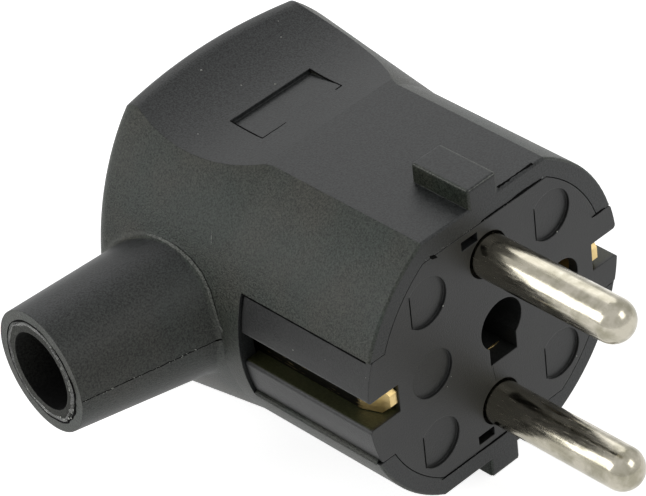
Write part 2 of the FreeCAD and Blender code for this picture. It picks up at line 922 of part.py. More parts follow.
def build_pin(label, rise):
    """A round pin with a domed tip, a head that seats in the insert and a neck for the screw."""
    body = new_body(label)
    radius = size("pin_radius")
    head = size("pin_head_radius")
    neck = size("pin_neck_radius")
    tip = -size("pin_length")
    dome = tip + radius
    head_start = size("pin_head_start")
    head_end = size("window_length")
    neck_end = bridge_back()
    side = new_sketch(body, "XY_Plane", "side")
    collar = size("pin_collar_radius")
    ledge = size("pin_ring_depth") + size("seat_gap")
    root = radius - size("pin_undercut")
    points = [(radius, dome), (radius, 0), (root, 0), (root, ledge), (collar, ledge), (collar, head_start)]
    points += [(head, head_start), (head, head_end)]
    points += [(neck, head_end), (neck, neck_end), (0, neck_end), (0, tip)]
    numbers = [FreeCAD.Vector(as_length(x).number, as_length(y).number, 0) for x, y in points]
    edges = [sketch_line(side, numbers[i], numbers[i + 1]) for i in range(len(numbers) - 1)]
    centre = FreeCAD.Vector(0, dome.number, 0)
    edges.append(side.addGeometry(arc_between(numbers[-1], numbers[0], centre)))
    join_in_order(side, edges)
    for edge, (x, y) in zip(edges[:-1], points[:-1]):
        pin_point(side, edge, 1, x, y)
    pin_point(side, edges[-1], 3, 0, dome)
    side.addConstraint(Sketcher.Constraint("PointOnObject", edges[-1], 1, -2))
    turn(body, side, "turned_pin", axis="V_Axis")
    tapped = new_sketch(body, "XZ_Plane", "tapped_outline", neck_end - size("terminal_screw_length") - 1)
    draw_circle(tapped, size("terminal_screw_radius") + size("seat_gap"))
    pocket(body, tapped, size("terminal_screw_length") + 2, "tapped_hole")
    body.setExpression("Placement.Base.z", rise.text)
    return body


def sketch_line(sketch, start, goal):
    """One straight edge."""
    return sketch.addGeometry(Part.LineSegment(start, goal))


# The rear plate and the cable clamp


def build_retainer():
    """The plate that holds the pins in the insert, with the cable saddle and its two posts."""
    body = new_body("pin_retainer")
    start = size("window_length")
    thickness = size("plate_thickness")
    half_spacing = size("pin_spacing") / 2
    place = saddle_place()
    plate = new_sketch(body, "XZ_Plane", "plate_outline", start)
    draw_barrel(plate, plate_radius(), plate_flat())
    pad(body, plate, thickness, "plate")

    holes = new_sketch(body, "XZ_Plane", "plate_holes", start - 1)
    for rise in (half_spacing, -half_spacing):
        draw_circle(holes, size("pin_neck_radius") + size("fit_gap"), 0, rise)
    draw_circle(holes, size("centre_screw_radius") + size("fit_gap"), size("screw_hole_place"))
    draw_circle(holes, socket_radius() + size("fit_gap"), size("earth_place"))
    small = size("small_screw_radius") + size("fit_gap")
    draw_circle(holes, small, -size("retainer_screw_x"), size("retainer_screw_z"))
    draw_circle(holes, small, size("retainer_screw_x"), -size("retainer_screw_z"))
    pocket(body, holes, thickness + 2, "plate_hole_cuts")

    notches = new_sketch(body, "XZ_Plane", "strip_notches", start - 1)
    inner = strip_back() - size("fit_gap")
    outer = plate_radius() + 1
    half_notch = size("strip_half_width") + size("fit_gap") * 2
    draw_polygon(notches, box_points(inner, outer, -half_notch, half_notch))
    draw_polygon(notches, box_points(-outer, -inner, -half_notch, half_notch))
    half_nut = size("nut_half_width") + size("seat_gap")
    nut_place = -size("earth_screw_place")
    draw_polygon(notches, box_points(nut_place - half_nut, nut_place + half_nut, -half_nut, half_nut))
    pocket(body, notches, thickness + 2, "notch_and_nut_cuts")

    saddle = new_sketch(body, "XZ_Plane", "saddle_outline", plate_back())
    half_length = size("saddle_length") / 2
    half_width = (size("cable_radius") + size("saddle_wall"))
    draw_polygon(saddle, box_points(-place - half_length, -place + half_length, -half_width, half_width))
    pad(body, saddle, saddle_height() - plate_back(), "saddle")
    tunnel = new_sketch(body, "XZ_Plane", "tunnel_outline", plate_back())
    half_tunnel = size("bridge_half_width") + size("fit_gap")
    draw_polygon(tunnel, box_points(
        -place - half_length - 1,
        -place + half_length + 1,
        -half_tunnel,
        half_tunnel,
    ))
    pocket(body, tunnel, size("strip_thickness") + size("fit_gap"), "tunnel")
    groove = new_sketch(body, "YZ_Plane", "cable_groove")
    draw_circle(groove, size("cable_radius"), saddle_height() + size("saddle_lip"))
    groove_cut = pocket(body, groove, plate_radius() * 2, "groove")
    groove_cut.Midplane = True

    posts = new_sketch(body, "XZ_Plane", "post_outline", plate_back())
    pilots = new_sketch(body, "XZ_Plane", "post_pilots", post_top() - clamp_pilot_depth())
    for rise in (post_spread(), -post_spread()):
        draw_circle(posts, size("post_radius"), -place, rise)
        draw_circle(pilots, size("small_screw_radius") + size("seat_gap"), -place, rise)
    pad(body, posts, post_top() - plate_back(), "posts")
    pocket(body, pilots, clamp_pilot_depth() + 1, "post_pilot_cuts")
    return body


def clamp_pilot_depth():
    """How far a clamp screw reaches into its post, with room at its tip."""
    return size("small_screw_length") - size("clamp_thickness") + 0.5


def draw_stadium(sketch, x, spread, radius):
    """An upright outline of two half circles, joined by two lines."""
    x = as_length(x)
    low_right = FreeCAD.Vector((x + radius).number, -spread.number, 0)
    high_right = FreeCAD.Vector((x + radius).number, spread.number, 0)
    high_left = FreeCAD.Vector((x - radius).number, spread.number, 0)
    low_left = FreeCAD.Vector((x - radius).number, -spread.number, 0)
    high_centre = FreeCAD.Vector(x.number, spread.number, 0)
    low_centre = FreeCAD.Vector(x.number, -spread.number, 0)
    right = sketch_line(sketch, low_right, high_right)
    top = sketch.addGeometry(arc_between(high_right, high_left, high_centre))
    left = sketch_line(sketch, high_left, low_left)
    bottom = sketch.addGeometry(arc_between(low_left, low_right, low_centre))
    join_in_order(sketch, [right, top, left, bottom])
    pin_point(sketch, right, 1, x + radius, -spread)
    pin_point(sketch, right, 2, x + radius, spread)
    limit(sketch, "DistanceY", -1, 1, left, 1, spread)
    limit(sketch, "DistanceY", -1, 1, left, 2, -spread)
    pin_point(sketch, top, 3, x, spread)
    pin_point(sketch, bottom, 3, x, -spread)


def build_clamp():
    """The bar that holds the cable down on the saddle."""
    body = new_body("cable_clamp")
    place = -saddle_place()
    bar = new_sketch(body, "XZ_Plane", "bar_outline", post_top())
    draw_stadium(bar, place, post_spread(), size("post_radius"))
    pad(body, bar, size("clamp_thickness"), "bar")
    ridge = new_sketch(body, "XZ_Plane", "ridge_outline", post_top())
    half = size("clamp_ridge_width") / 2
    reach = post_spread() - size("post_radius") - size("saddle_lip")
    draw_polygon(ridge, box_points(place - half, place + half, -reach, reach))
    pad(body, ridge, size("clamp_ridge"), "ridge", backward=True)
    holes = new_sketch(body, "XZ_Plane", "bar_holes", post_top() - 1)
    for rise in (post_spread(), -post_spread()):
        draw_circle(holes, size("small_screw_radius") + size("fit_gap"), place, rise)
    pocket(body, holes, size("clamp_thickness") + 2, "bar_hole_cuts")
    return body


def build_bush():
    """The lining of the cable sleeve, flush with the sleeve's end."""
    body = new_body("cable_bush")
    side = sleeve_sketch(body, "bush_side")
    end = size("sleeve_length")
    outer = size("sleeve_bore") - size("seat_gap")
    reach = end + size("sleeve_slant")
    draw_polygon(side, box_points(end - size("bush_length"), reach, size("bush_bore"), outer))
    turn(body, side, "bush")
    slant_end(body)
    return body


# Earth parts


def build_bow():
    """The folded earth strip: two side contacts with bent-in tips, joined by a bridge at the back."""
    body = new_body("earth_bow")
    face = strip_face()
    inner = strip_back()
    left_in = size("left_lead_in")
    right_in = size("right_lead_in")
    front = size("strip_front")
    lead = size("strip_lead")
    back = bridge_back()
    fold = plate_back()
    side = new_sketch(body, "XY_Plane", "bow_side")
    draw_polygon(side, [
        (face, lead),
        (face, back),
        (-face, back),
        (-face, lead),
        (left_in - face, front),
        (left_in - inner, front),
        (-inner, lead),
        (-inner, fold),
        (inner, fold),
        (inner, lead),
        (inner - right_in, front),
        (face - right_in, front),
    ])
    strip = pad(body, side, size("strip_half_width") * 2, "strip")
    strip.Midplane = True
    soften(body, size("bend_round"), "bends", is_bend_edge)

    bridge = new_sketch(body, "XZ_Plane", "bridge_outline", fold)
    reach = inner - size("bridge_end")
    half = size("bridge_half_width")
    draw_polygon(bridge, box_points(-reach, reach, -half, half))
    pad(body, bridge, size("strip_thickness"), "bridge")

    corner = new_sketch(body, "YZ_Plane", "tip_corner")
    edge = size("strip_half_width")
    cut = size("strip_corner")
    draw_polygon(corner, [
        (front - 0.5, edge - cut - 0.5),
        (front + cut + 0.5, edge + 0.5),
        (front - 0.5, edge + 0.5),
    ])
    corner_cut = pocket(body, corner, face * 4, "tip_corner_cut")
    corner_cut.Midplane = True
    mirror(body, [corner_cut], "XY_Plane", "tip_corner_cut_below")

    holes = new_sketch(body, "XZ_Plane", "bridge_holes", fold - 1)
    clear = size("centre_screw_radius") + size("fit_gap")
    draw_circle(holes, clear, size("screw_hole_place"))
    draw_circle(holes, size("terminal_screw_radius") + size("fit_gap"), -size("earth_screw_place"))
    draw_circle(holes, size("rivet_radius") + size("seat_gap"), size("earth_place"))
    pocket(body, holes, size("strip_thickness") + 2, "bridge_hole_cuts")
    return body


def is_bend_edge(edge):
    """An outer corner where the earth strip is folded."""
    box = edge.BoundBox
    upright_edge = box.ZLength > 1 and box.XLength < 0.01 and box.YLength < 0.01
    return upright_edge and near(abs(box.XMin), strip_face().number) and box.YMin > SIZES["strip_lead"] + 5


def build_socket():
    """The blind brass tube that takes the socket outlet's earth pin, riveted to the bridge."""
    body = new_body("earth_socket")
    bore = size("earth_hole")
    outer = socket_radius()
    front = size("earth_hole_lip")
    fold = plate_back()
    back = bridge_back()
    head_end = back + size("rivet_head_height")
    floor = fold - size("socket_end_wall")
    side = new_sketch(body, "XY_Plane", "socket_side")
    draw_polygon(side, [
        (bore, front),
        (outer, front),
        (outer, fold),
        (size("rivet_radius"), fold),
        (size("rivet_radius"), back),
        (size("rivet_head_radius"), back),
        (size("rivet_head_radius"), head_end),
        (0, head_end),
        (0, floor),
        (bore, floor),
    ])
    turn(body, side, "turned_socket", axis="V_Axis")
    body.setExpression("Placement.Base.x", size("earth_place").text)
    return body


# Screws and small parts


def put(body, x, z):
    """Tie a body's place across and up to the sheet."""
    body.setExpression("Placement.Base.x", as_length(x).text)
    body.setExpression("Placement.Base.z", as_length(z).text)


def build_screw(label, place, seat, tip, shank, head, height, forward=False):
    """A slotted screw. Its head sits on seat and faces +Y, or -Y when forward, and it ends at tip."""
    body = new_body(label)
    edge = size("head_edge")
    top = seat - height if forward else seat + height
    below = top + edge if forward else top - edge
    tip_edge = tip - edge if forward else tip + edge
    side = new_sketch(body, "XY_Plane", "screw_side")
    draw_polygon(side, [
        (0, tip),
        (shank - edge, tip),
        (shank, tip_edge),
        (shank, seat),
        (head, seat),
        (head, below),
        (head - edge, top),
        (0, top),
    ])
    turn(body, side, "turned_screw", axis="V_Axis")
    depth = size("slot_depth")
    half_slot = size("slot_width") / 2
    reach = head + 1
    slot = new_sketch(body, "XZ_Plane", "driver_slot", top - 1 if forward else top - depth)
    draw_polygon(slot, box_points(-reach, reach, -half_slot, half_slot))
    pocket(body, slot, depth + 1, "driver_slot_cut")
    put(body, *place)
    return body


def build_ring(label, place, start, length, outer, inner):
    """A plain ring along Y."""
    body = new_body(label)
    ring = new_sketch(body, "XZ_Plane", "ring_outline", start)
    draw_circle(ring, outer)
    draw_circle(ring, inner)
    pad(body, ring, length, "ring")
    put(body, *place)
    return body


def build_saddle_washer(label, rise):
    """A square clamping washer with two lips turned down beside the pin's neck."""
    body = new_body(label)
    start = bridge_back()
    thickness = size("washer_thickness")
    inner = size("pin_neck_radius") + size("fit_gap")
    outer = inner + thickness
    half_height = size("washer_half_height")
    plate = new_sketch(body, "XZ_Plane", "washer_outline", start)
    draw_polygon(plate, box_points(-outer, outer, -half_height, half_height))
    pad(body, plate, thickness, "washer")
    lips = new_sketch(body, "XZ_Plane", "lip_outline", start)
    draw_polygon(lips, box_points(inner, outer, -half_height, half_height))
    draw_polygon(lips, box_points(-outer, -inner, -half_height, half_height))
    pad(body, lips, size("washer_lip"), "lips", backward=True)
    hole = new_sketch(body, "XZ_Plane", "washer_hole", start - 1)
    draw_circle(hole, size("terminal_screw_radius") + size("fit_gap"))
    pocket(body, hole, thickness + 2, "washer_hole_cut")
    put(body, 0, rise)
    return body


def build_nut():
    """The square nut of the earth screw, held in the rear plate."""
    body = new_body("earth_nut")
    gap = size("seat_gap")
    half = size("nut_half_width")
    outline = new_sketch(body, "XZ_Plane", "nut_outline", size("window_length") + gap)
    draw_polygon(outline, box_points(-half, half, -half, half))
    draw_circle(outline, size("terminal_screw_radius") + gap)
    pad(body, outline, size("plate_thickness") - gap, "nut")
    put(body, -size("earth_screw_place"), 0)
    return body


def build_small_parts():
    """Every screw, washer, nut and insert."""
    half_spacing = size("pin_spacing") / 2
    neck_end = bridge_back()
    washer_top = neck_end + size("washer_thickness")
    thread = size("terminal_screw_radius")
    terminal = (thread, size("terminal_head_radius"), size("terminal_head_height"))
    terminal_tip = neck_end - size("terminal_screw_length")
    bodies = []
    for name, rise in (("line", half_spacing), ("neutral", -half_spacing)):
        bodies.append(build_saddle_washer("saddle_washer_" + name, rise))
        label = "terminal_screw_" + name
        bodies.append(build_screw(label, (0, rise), washer_top, terminal_tip, *terminal))

    earth_at = (-size("earth_screw_place"), 0)
    washer = (size("earth_washer_radius"), thread + size("fit_gap"))
    bodies.append(build_ring("earth_washer", earth_at, neck_end, size("washer_thickness"), *washer))
    earth_head = (size("earth_head_radius"), size("earth_head_height"))
    earth_tip = size("window_length") + size("seat_gap") * 4
    bodies.append(build_screw("earth_screw", earth_at, washer_top, earth_tip, thread, *earth_head))
    bodies.append(build_nut())

    centre_at = (size("screw_hole_place"), 0)
    centre = size("centre_screw_radius")
    well = size("well_depth")
    centre_tip = boss_front() + size("insert_length") + size("screw_tail") - 0.5
    centre_head = (size("centre_head_radius"), size("centre_head_height"))
    bodies.append(build_screw("centre_screw", centre_at, well, centre_tip, centre, *centre_head, forward=True))
    insert = (size("insert_radius"), centre + size("seat_gap"))
    bodies.append(build_ring("centre_insert", centre_at, boss_front(), size("insert_length"), *insert))

    small = (size("small_screw_radius"), size("small_head_radius"), size("small_head_height"))
    clamp_top = post_top() + size("clamp_thickness")
    clamp_tip = clamp_top - size("small_screw_length")
    for name, rise in (("upper", post_spread()), ("lower", -post_spread())):
        place = (-saddle_place(), rise)
        bodies.append(build_screw("clamp_screw_" + name, place, clamp_top, clamp_tip, *small))
    plate_top = plate_back()
    plate_tip = plate_top - size("small_screw_length")
    across = size("retainer_screw_x")
    up = size("retainer_screw_z")
    for name, place in (("left", (-across, up)), ("right", (across, -up))):
        bodies.append(build_screw("retainer_screw_" + name, place, plate_top, plate_tip, *small))
    return bodies


def check(bodies):
    """Stop before anything is written if an object failed or a piece is not one valid solid."""
    for thing in DOCUMENT.Objects:
        if "Invalid" in thing.State or "Error" in thing.State:
            raise RuntimeError("%s: %s" % (thing.Name, thing.getStatusString()))
    for body in bodies:
        shape = body.Shape
        if shape.isNull() or not shape.isValid() or len(shape.Solids) != 1:
            raise RuntimeError("%s is not one valid solid" % body.Label)


def main():
    """Build the plug, check it, and write one file for each piece."""
    fill_sheet()
    half_spacing = size("pin_spacing") / 2
    bodies = [
        build_housing(),
        build_carrier(),
        build_pin("pin_line", half_spacing),
        build_pin("pin_neutral", -half_spacing),
        build_retainer(),
        build_clamp(),
        build_bush(),
        build_bow(),
        build_socket(),
    ]
    bodies += build_small_parts()
    DOCUMENT.recompute()
    check(bodies)
    os.makedirs("parts", exist_ok=True)
    for body in bodies:
        body.Shape.exportStep("parts/%s.step" % body.Label)
        print(body.Label, round(body.Shape.Volume, 1))


main()
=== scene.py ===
import logging
import math
import random
from dataclasses import dataclass
from enum import Enum
from functools import cache
from typing import Any, Iterable

import bpy
from mathutils import Matrix, Vector


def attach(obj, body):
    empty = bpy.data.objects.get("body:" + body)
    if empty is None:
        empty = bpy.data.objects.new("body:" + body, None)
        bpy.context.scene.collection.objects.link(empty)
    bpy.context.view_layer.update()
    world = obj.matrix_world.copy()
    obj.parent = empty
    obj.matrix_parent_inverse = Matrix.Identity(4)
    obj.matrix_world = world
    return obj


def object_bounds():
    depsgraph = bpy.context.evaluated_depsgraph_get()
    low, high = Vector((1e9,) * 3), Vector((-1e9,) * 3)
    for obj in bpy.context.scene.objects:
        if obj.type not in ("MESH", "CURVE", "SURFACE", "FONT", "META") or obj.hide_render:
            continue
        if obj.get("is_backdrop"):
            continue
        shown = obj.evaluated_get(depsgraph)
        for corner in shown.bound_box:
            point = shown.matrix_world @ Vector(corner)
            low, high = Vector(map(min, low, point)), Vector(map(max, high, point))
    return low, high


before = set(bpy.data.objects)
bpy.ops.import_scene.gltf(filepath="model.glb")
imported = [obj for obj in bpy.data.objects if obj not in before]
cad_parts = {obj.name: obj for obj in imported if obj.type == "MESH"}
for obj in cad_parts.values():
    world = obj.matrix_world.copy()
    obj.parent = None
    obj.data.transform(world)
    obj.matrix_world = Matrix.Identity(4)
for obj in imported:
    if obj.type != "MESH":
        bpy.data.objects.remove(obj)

LOG = logging.getLogger("angled_plug")
MM = 0.001
UP = Vector((0, 0, 1))
FORWARDS = Vector((0, -1, 0))
WHITE = (1.0, 1.0, 1.0, 1.0)

# How deep the foot of a bead, and the foot and the tip under a crumb, are sunk in the surface
BEAD_FOOT_MM = 0.02
CRUMB_FOOT_MM = 0.03
CRUMB_TIP_MM = 0.05
# A crumb's size as a share of the usual radius, and its reach and height as shares of its size
CRUMB_SIZES = (0.55, 1.25)
CRUMB_REACHES = (0.6, 1.15)
CRUMB_HEIGHT = 0.6
CRUMB_CORNERS = 7

Tree = bpy.types.NodeTree
Socket = bpy.types.NodeSocket
Pair = tuple[float, float]
Triple = tuple[float, float, float]
Shape = tuple[list[Vector], list[tuple[int, ...]]]


# Colour, nodes and meshes


def linear(hex_text: str) -> tuple[float, float, float, float]:
    """Turn an sRGB hex colour into the linear colour that a shader takes.

    Args:
        hex_text: Six hex digits, such as "4A4C4B".

    Returns:
        Red, green, blue and an alpha of one.
    """
    parts = []
    for start in (0, 2, 4):
        value = int(hex_text[start:start + 2], 16) / 255
        low = value / 12.92
        high = ((value + 0.055) / 1.055) ** 2.4
        parts.append(low if value <= 0.04045 else high)
    return (parts[0], parts[1], parts[2], 1.0)


def add(
    tree: Tree,
    kind: str,
    inputs: dict[str | int, Any] | None = None,
    **settings: Any,
) -> bpy.types.Node:
    """Add one node with its settings, values and links.

    Args:
        tree: The node tree.
        kind: The node's type name.
        inputs: Socket name or number, to a value or to another node's output socket.
        settings: The node's own properties.

    Returns:
        The new node.
    """
    node = tree.nodes.new(kind)
    for name, value in settings.items():
        setattr(node, name, value)
    for key, value in (inputs or {}).items():
        if isinstance(value, Socket):
            tree.links.new(value, node.inputs[key])
        else:
            node.inputs[key].default_value = value
    return node


def new_material(name: str) -> tuple[bpy.types.Material, Tree, bpy.types.Node, Socket]:
    """Make an empty node material.

    Args:
        name: The real material's name.

    Returns:
        The material, its tree, its shader node and its place coordinate in millimetres.
    """
    material = bpy.data.materials.new(name)
    material.use_nodes = True
    tree = material.node_tree
    tree.nodes.clear()
    output = add(tree, "ShaderNodeOutputMaterial")
    shader = add(tree, "ShaderNodeBsdfPrincipled")
    tree.links.new(shader.outputs["BSDF"], output.inputs["Surface"])
    place = add(tree, "ShaderNodeVectorMath", {
        0: add(tree, "ShaderNodeTexCoord").outputs["Object"],
        1: (1 / MM, 1 / MM, 1 / MM),
    }, operation="MULTIPLY")
    return material, tree, shader, place.outputs["Vector"]


def dress(node: str, material: bpy.types.Material) -> None:
    """Give a carried-over node its material.

    Args:
        node: The node's name in the frame.
        material: The material for all its slots.
    """
    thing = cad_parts[node]
    if not thing.material_slots:
        thing.data.materials.append(material)
    for slot in thing.material_slots:
        slot.link = "OBJECT"
        slot.material = material
    LOG.info("dressed %s in %s", node, material.name)


def new_piece(name: str, shape: Shape, material: bpy.types.Material) -> None:
    """Make a small piece that rides on the plug.

    Args:
        name: The piece's name.
        shape: Its corners in millimetres, in the frame's axes, and its faces.
        material: Its material.
    """
    points, faces = shape
    mesh = bpy.data.meshes.new(name)
    mesh.from_pydata([point * MM for point in points], [], faces)
    mesh.validate()
    mesh.materials.append(material)
    thing = bpy.data.objects.new(name, mesh)
    bpy.context.scene.collection.objects.link(thing)
    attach(thing, "root")
    LOG.info("built %s with %d faces", name, len(faces))


def straight(first: Vector, second: Vector, steps: int) -> list[Vector]:
    """Evenly spaced places on a straight line, both ends among them.

    Args:
        first: One end.
        second: The other end.
        steps: How many steps lie between them.

    Returns:
        The places.
    """
    return [first.lerp(second, number / steps) for number in range(steps + 1)]


def bead_mesh(
    path: list[Vector],
    outward: Vector | list[Vector],
    widths: float | list[float],
    heights: float | list[float],
) -> Shape:
    """A low, three-sided ridge along a path on a surface.

    Args:
        path: Points on the surface, in millimetres.
        outward: The surface's direction outwards, at each point or for all.
        widths: The ridge's full width, at each point or for all.
        heights: Its height, at each point or for all.

    Returns:
        Its corners and faces.
    """
    outs, wides, highs = (
        value if isinstance(value, list) else [value] * len(path) for value in (outward, widths, heights)
    )
    points: list[Vector] = []
    for number, place in enumerate(path):
        before = path[max(number - 1, 0)]
        after = path[min(number + 1, len(path) - 1)]
        side = (after - before).normalized().cross(outs[number]).normalized()
        half = wides[number] / 2
        foot = place - outs[number] * BEAD_FOOT_MM
        points += [foot - side * half, place + outs[number] * highs[number], foot + side * half]
    faces: list[tuple[int, ...]] = []
    for number in range(len(path) - 1):
        a = number * 3
        faces += [(a, a + 1, a + 4, a + 3), (a + 1, a + 2, a + 5, a + 4), (a + 2, a, a + 3, a + 5)]
    last = len(points) - 3
    faces += [(0, 2, 1), (last, last + 1, last + 2)]
    return points, faces


def crumb_mesh(spots: Iterable[tuple[Vector, Vector]], radius: float, seed: int) -> Shape:
    """Small uneven crumbs that sit on a surface.

    Args:
        spots: Each crumb's place in millimetres and the surface's direction outwards there.
        radius: A crumb's usual radius in millimetres.
        seed: The start of the random sizes, so that each run gives the same crumbs.

    Returns:
        Their corners and faces.
    """
    dice = random.Random(seed)
    points: list[Vector] = []
    faces: list[tuple[int, ...]] = []
    for place, outward in spots:
        across = outward.orthogonal().normalized()
        along = outward.cross(across).normalized()
        size = radius * dice.uniform(*CRUMB_SIZES)
        base = len(points)
        for number in range(CRUMB_CORNERS):
            turn = 2 * math.pi * number / CRUMB_CORNERS
            reach = size * dice.uniform(*CRUMB_REACHES)
            arm = across * math.cos(turn) + along * math.sin(turn)
            points.append(place + arm * reach - outward * CRUMB_FOOT_MM)
        points.append(place + outward * size * CRUMB_HEIGHT)
        points.append(place - outward * CRUMB_TIP_MM)
        top = base + CRUMB_CORNERS
        for number in range(CRUMB_CORNERS):
            after = base + (number + 1) % CRUMB_CORNERS
            faces += [(base + number, after, top), (after, base + number, top + 1)]
    return points, faces


# Finishes


@dataclass(frozen=True)
class MouldedPlastic:
    """Dyed plastic from a mould with a spark-eroded, finely grained surface.

    The eye sees a near-black body that mirrors its white surroundings weakly and softly,
    with a fine salt-and-pepper grain and slow, faint changes of tone where the melt flowed.
    """

    name: str
    body: str
    flow: str
    roughness_low: float = 0.4
    roughness_high: float = 0.56
    specular: float = 0.36
    grain_mm: float = 0.2
    grain_height_mm: float = 0.08
    grain_tone: float = 0.7
    pit_shine: float = 0.35
    flow_mm: float = 7.0
    edge_mm: float = 0.14
    # Faces that hardly turn sideways, such as the label side or the lining's bore: their colour, which in the
    # bore is painted shade, how far they may turn from 0 to 1, and the grain that is left
    plain_and_bore_shade: str = ""
    plain_and_bore_turns: Pair = (0.08, 0.3)
    plain_and_bore_grain: float = 0.35
    # The slots beside the earth strip: the colour of the painted light that the brass strip reflects into
    # them, their inner end, half height and front
    brass_bounce: str = ""
    slot_end_mm: Pair = (13.3, 13.5)
    slot_half_mm: Pair = (1.74, 1.8)
    slot_front_mm: Pair = (0.1, 0.5)
    # The ribs' side walls, darkened as painted shade: how far out they lie, how far sideways they turn, and
    # the shine that is left
    wall_within_mm: float = 0.0
    wall_turns: Pair = (0.7, 0.9)
    wall_shine: float = 0.3

    @cache
    def make(self) -> bpy.types.Material:
        """Build the material, once for all pieces that wear it.

        Returns:
            The material.
        """
        material, tree, shader, place = new_material(self.name)
        # The melt's flow changes the tone over several millimetres
        flow = add(tree, "ShaderNodeTexNoise", {"Vector": place, "Scale": 1 / self.flow_mm, "Detail": 3.0})
        share = add(tree, "ShaderNodeMapRange", {
            "Value": flow.outputs["Fac"],
            "From Min": 0.35,
            "From Max": 0.65,
        })
        colour = add(tree, "ShaderNodeMix", {
            0: share.outputs[0],
            6: linear(self.body),
            7: linear(self.flow),
        }, data_type="RGBA").outputs[2]
        strength: Socket | float = 1.0
        # On the lining, this colour is painted shade that makes the bore near black
        if self.plain_and_bore_shade:
            colour, strength = self.polish_and_bore_shade(tree, colour)
        # Painted olive light that the brass strip reflects into the side slots
        if self.brass_bounce:
            colour = self.paint_brass_bounce(tree, place, colour)
        # The mould's grain is about 0.1 mm wide, drawn coarser so that it shows in the render
        grain = add(tree, "ShaderNodeTexNoise", {
            "Vector": place,
            "Scale": 1 / self.grain_mm,
            "Detail": 2.0,
            "Roughness": 0.7,
        }).outputs["Fac"]
        # The pits between the grains are darker and smoother, and mirror less than their tops
        dim = self.pit_shine * self.grain_tone
        speckle, mirrored, rough = (
            add(tree, "ShaderNodeMapRange", {
                "Value": grain,
                "From Min": pit,
                "From Max": top,
                "To Min": low,
                "To Max": high,
            }).outputs[0]
            for pit, top, low, high in (
                (0.34, 0.66, 1 - self.grain_tone, 1 + self.grain_tone),
                (0.34, 0.66, self.specular * (1 - dim), self.specular * (1 + dim)),
                (0.3, 0.7, self.roughness_low, self.roughness_high),
            )
        )
        # Painted shade on the ribs' side walls
        if self.wall_within_mm:
            mirrored = self.shade_ribs(tree, place, mirrored)
        dyed = add(tree, "ShaderNodeVectorMath", {0: colour, "Scale": speckle}, operation="SCALE")
        # No moulded edge is dead sharp
        edge = add(tree, "ShaderNodeBevel", {"Radius": self.edge_mm * MM}, samples=6)
        bump = add(tree, "ShaderNodeBump", {
            "Height": grain,
            "Distance": self.grain_height_mm * MM,
            "Strength": strength,
            "Normal": edge.outputs[0],
        })
        tree.links.new(dyed.outputs["Vector"], shader.inputs["Base Color"])
        tree.links.new(rough, shader.inputs["Roughness"])
        tree.links.new(bump.outputs["Normal"], shader.inputs["Normal"])
        tree.links.new(mirrored, shader.inputs["Specular IOR Level"])
        shader.inputs["IOR"].default_value = 1.5
        return material

    def sideways(self, tree: Tree) -> Socket:
        """How far the surface faces left or right, from 0 to 1.

        Args:
            tree: The node tree.

        Returns:
            The output socket.
        """
        surface = add(tree, "ShaderNodeNewGeometry")
        parts = add(tree, "ShaderNodeSeparateXYZ", {0: surface.outputs["Normal"]})
        return add(tree, "ShaderNodeMath", {0: parts.outputs["X"]}, operation="ABSOLUTE").outputs[0]

    def polish_and_bore_shade(self, tree: Tree, colour: Socket) -> tuple[Socket, Socket]:
        """Give the faces that hardly turn sideways less grain and a colour of their own: polish on the
        housing, painted shade in the lining's bore.

        Args:
            tree: The node tree.
            colour: The colour's output socket so far.

        Returns:
            The new colour's output socket and that of the grain's strength.
        """
        nearest, furthest = self.plain_and_bore_turns
        flat = add(tree, "ShaderNodeMapRange", {
            "Value": self.sideways(tree),
            "From Min": nearest,
            "From Max": furthest,
            "To Min": 1.0,
            "To Max": 0.0,
        }).outputs[0]
        mixed = add(tree, "ShaderNodeMix", {0: flat, 6: colour, 7: linear(self.plain_and_bore_shade)}, data_type="RGBA")
        weaker = add(tree, "ShaderNodeMapRange", {"Value": flat, "To Min": 1.0, "To Max": self.plain_and_bore_grain})
        return mixed.outputs[2], weaker.outputs[0]

    def paint_brass_bounce(self, tree: Tree, place: Socket, colour: Socket) -> Socket:
        """Paint the olive light that the brass earth strip reflects onto the walls of both side slots.

        Args:
            tree: The node tree.
            place: The place coordinate's output socket.
            colour: The colour's output socket so far.

        Returns:
            The new colour's output socket.
        """
        axes = add(tree, "ShaderNodeSeparateXYZ", {0: place})
        out = add(tree, "ShaderNodeMath", {0: axes.outputs["X"]}, operation="ABSOLUTE")
        up = add(tree, "ShaderNodeMath", {0: axes.outputs["Z"]}, operation="ABSOLUTE")
        # Both slots share one mask, because they lie alike on either side of the middle
        beyond, within, behind = (
            add(tree, "ShaderNodeMapRange", {
                "Value": run,
                "From Min": start,
                "From Max": stop,
                "To Min": first,
                "To Max": 1 - first,
            }).outputs[0]
            for run, (start, stop), first in (
                (out.outputs[0], self.slot_end_mm, 0.0),
                (up.outputs[0], self.slot_half_mm, 1.0),
                (axes.outputs["Y"], self.slot_front_mm, 0.0),
            )
        )
        slot = add(tree, "ShaderNodeMath", {0: beyond, 1: within}, operation="MULTIPLY")
        inside = add(tree, "ShaderNodeMath", {0: slot.outputs[0], 1: behind}, operation="MULTIPLY")
        return add(tree, "ShaderNodeMix", {
            0: inside.outputs[0],
            6: colour,
            7: linear(self.brass_bounce),
        }, data_type="RGBA").outputs[2]

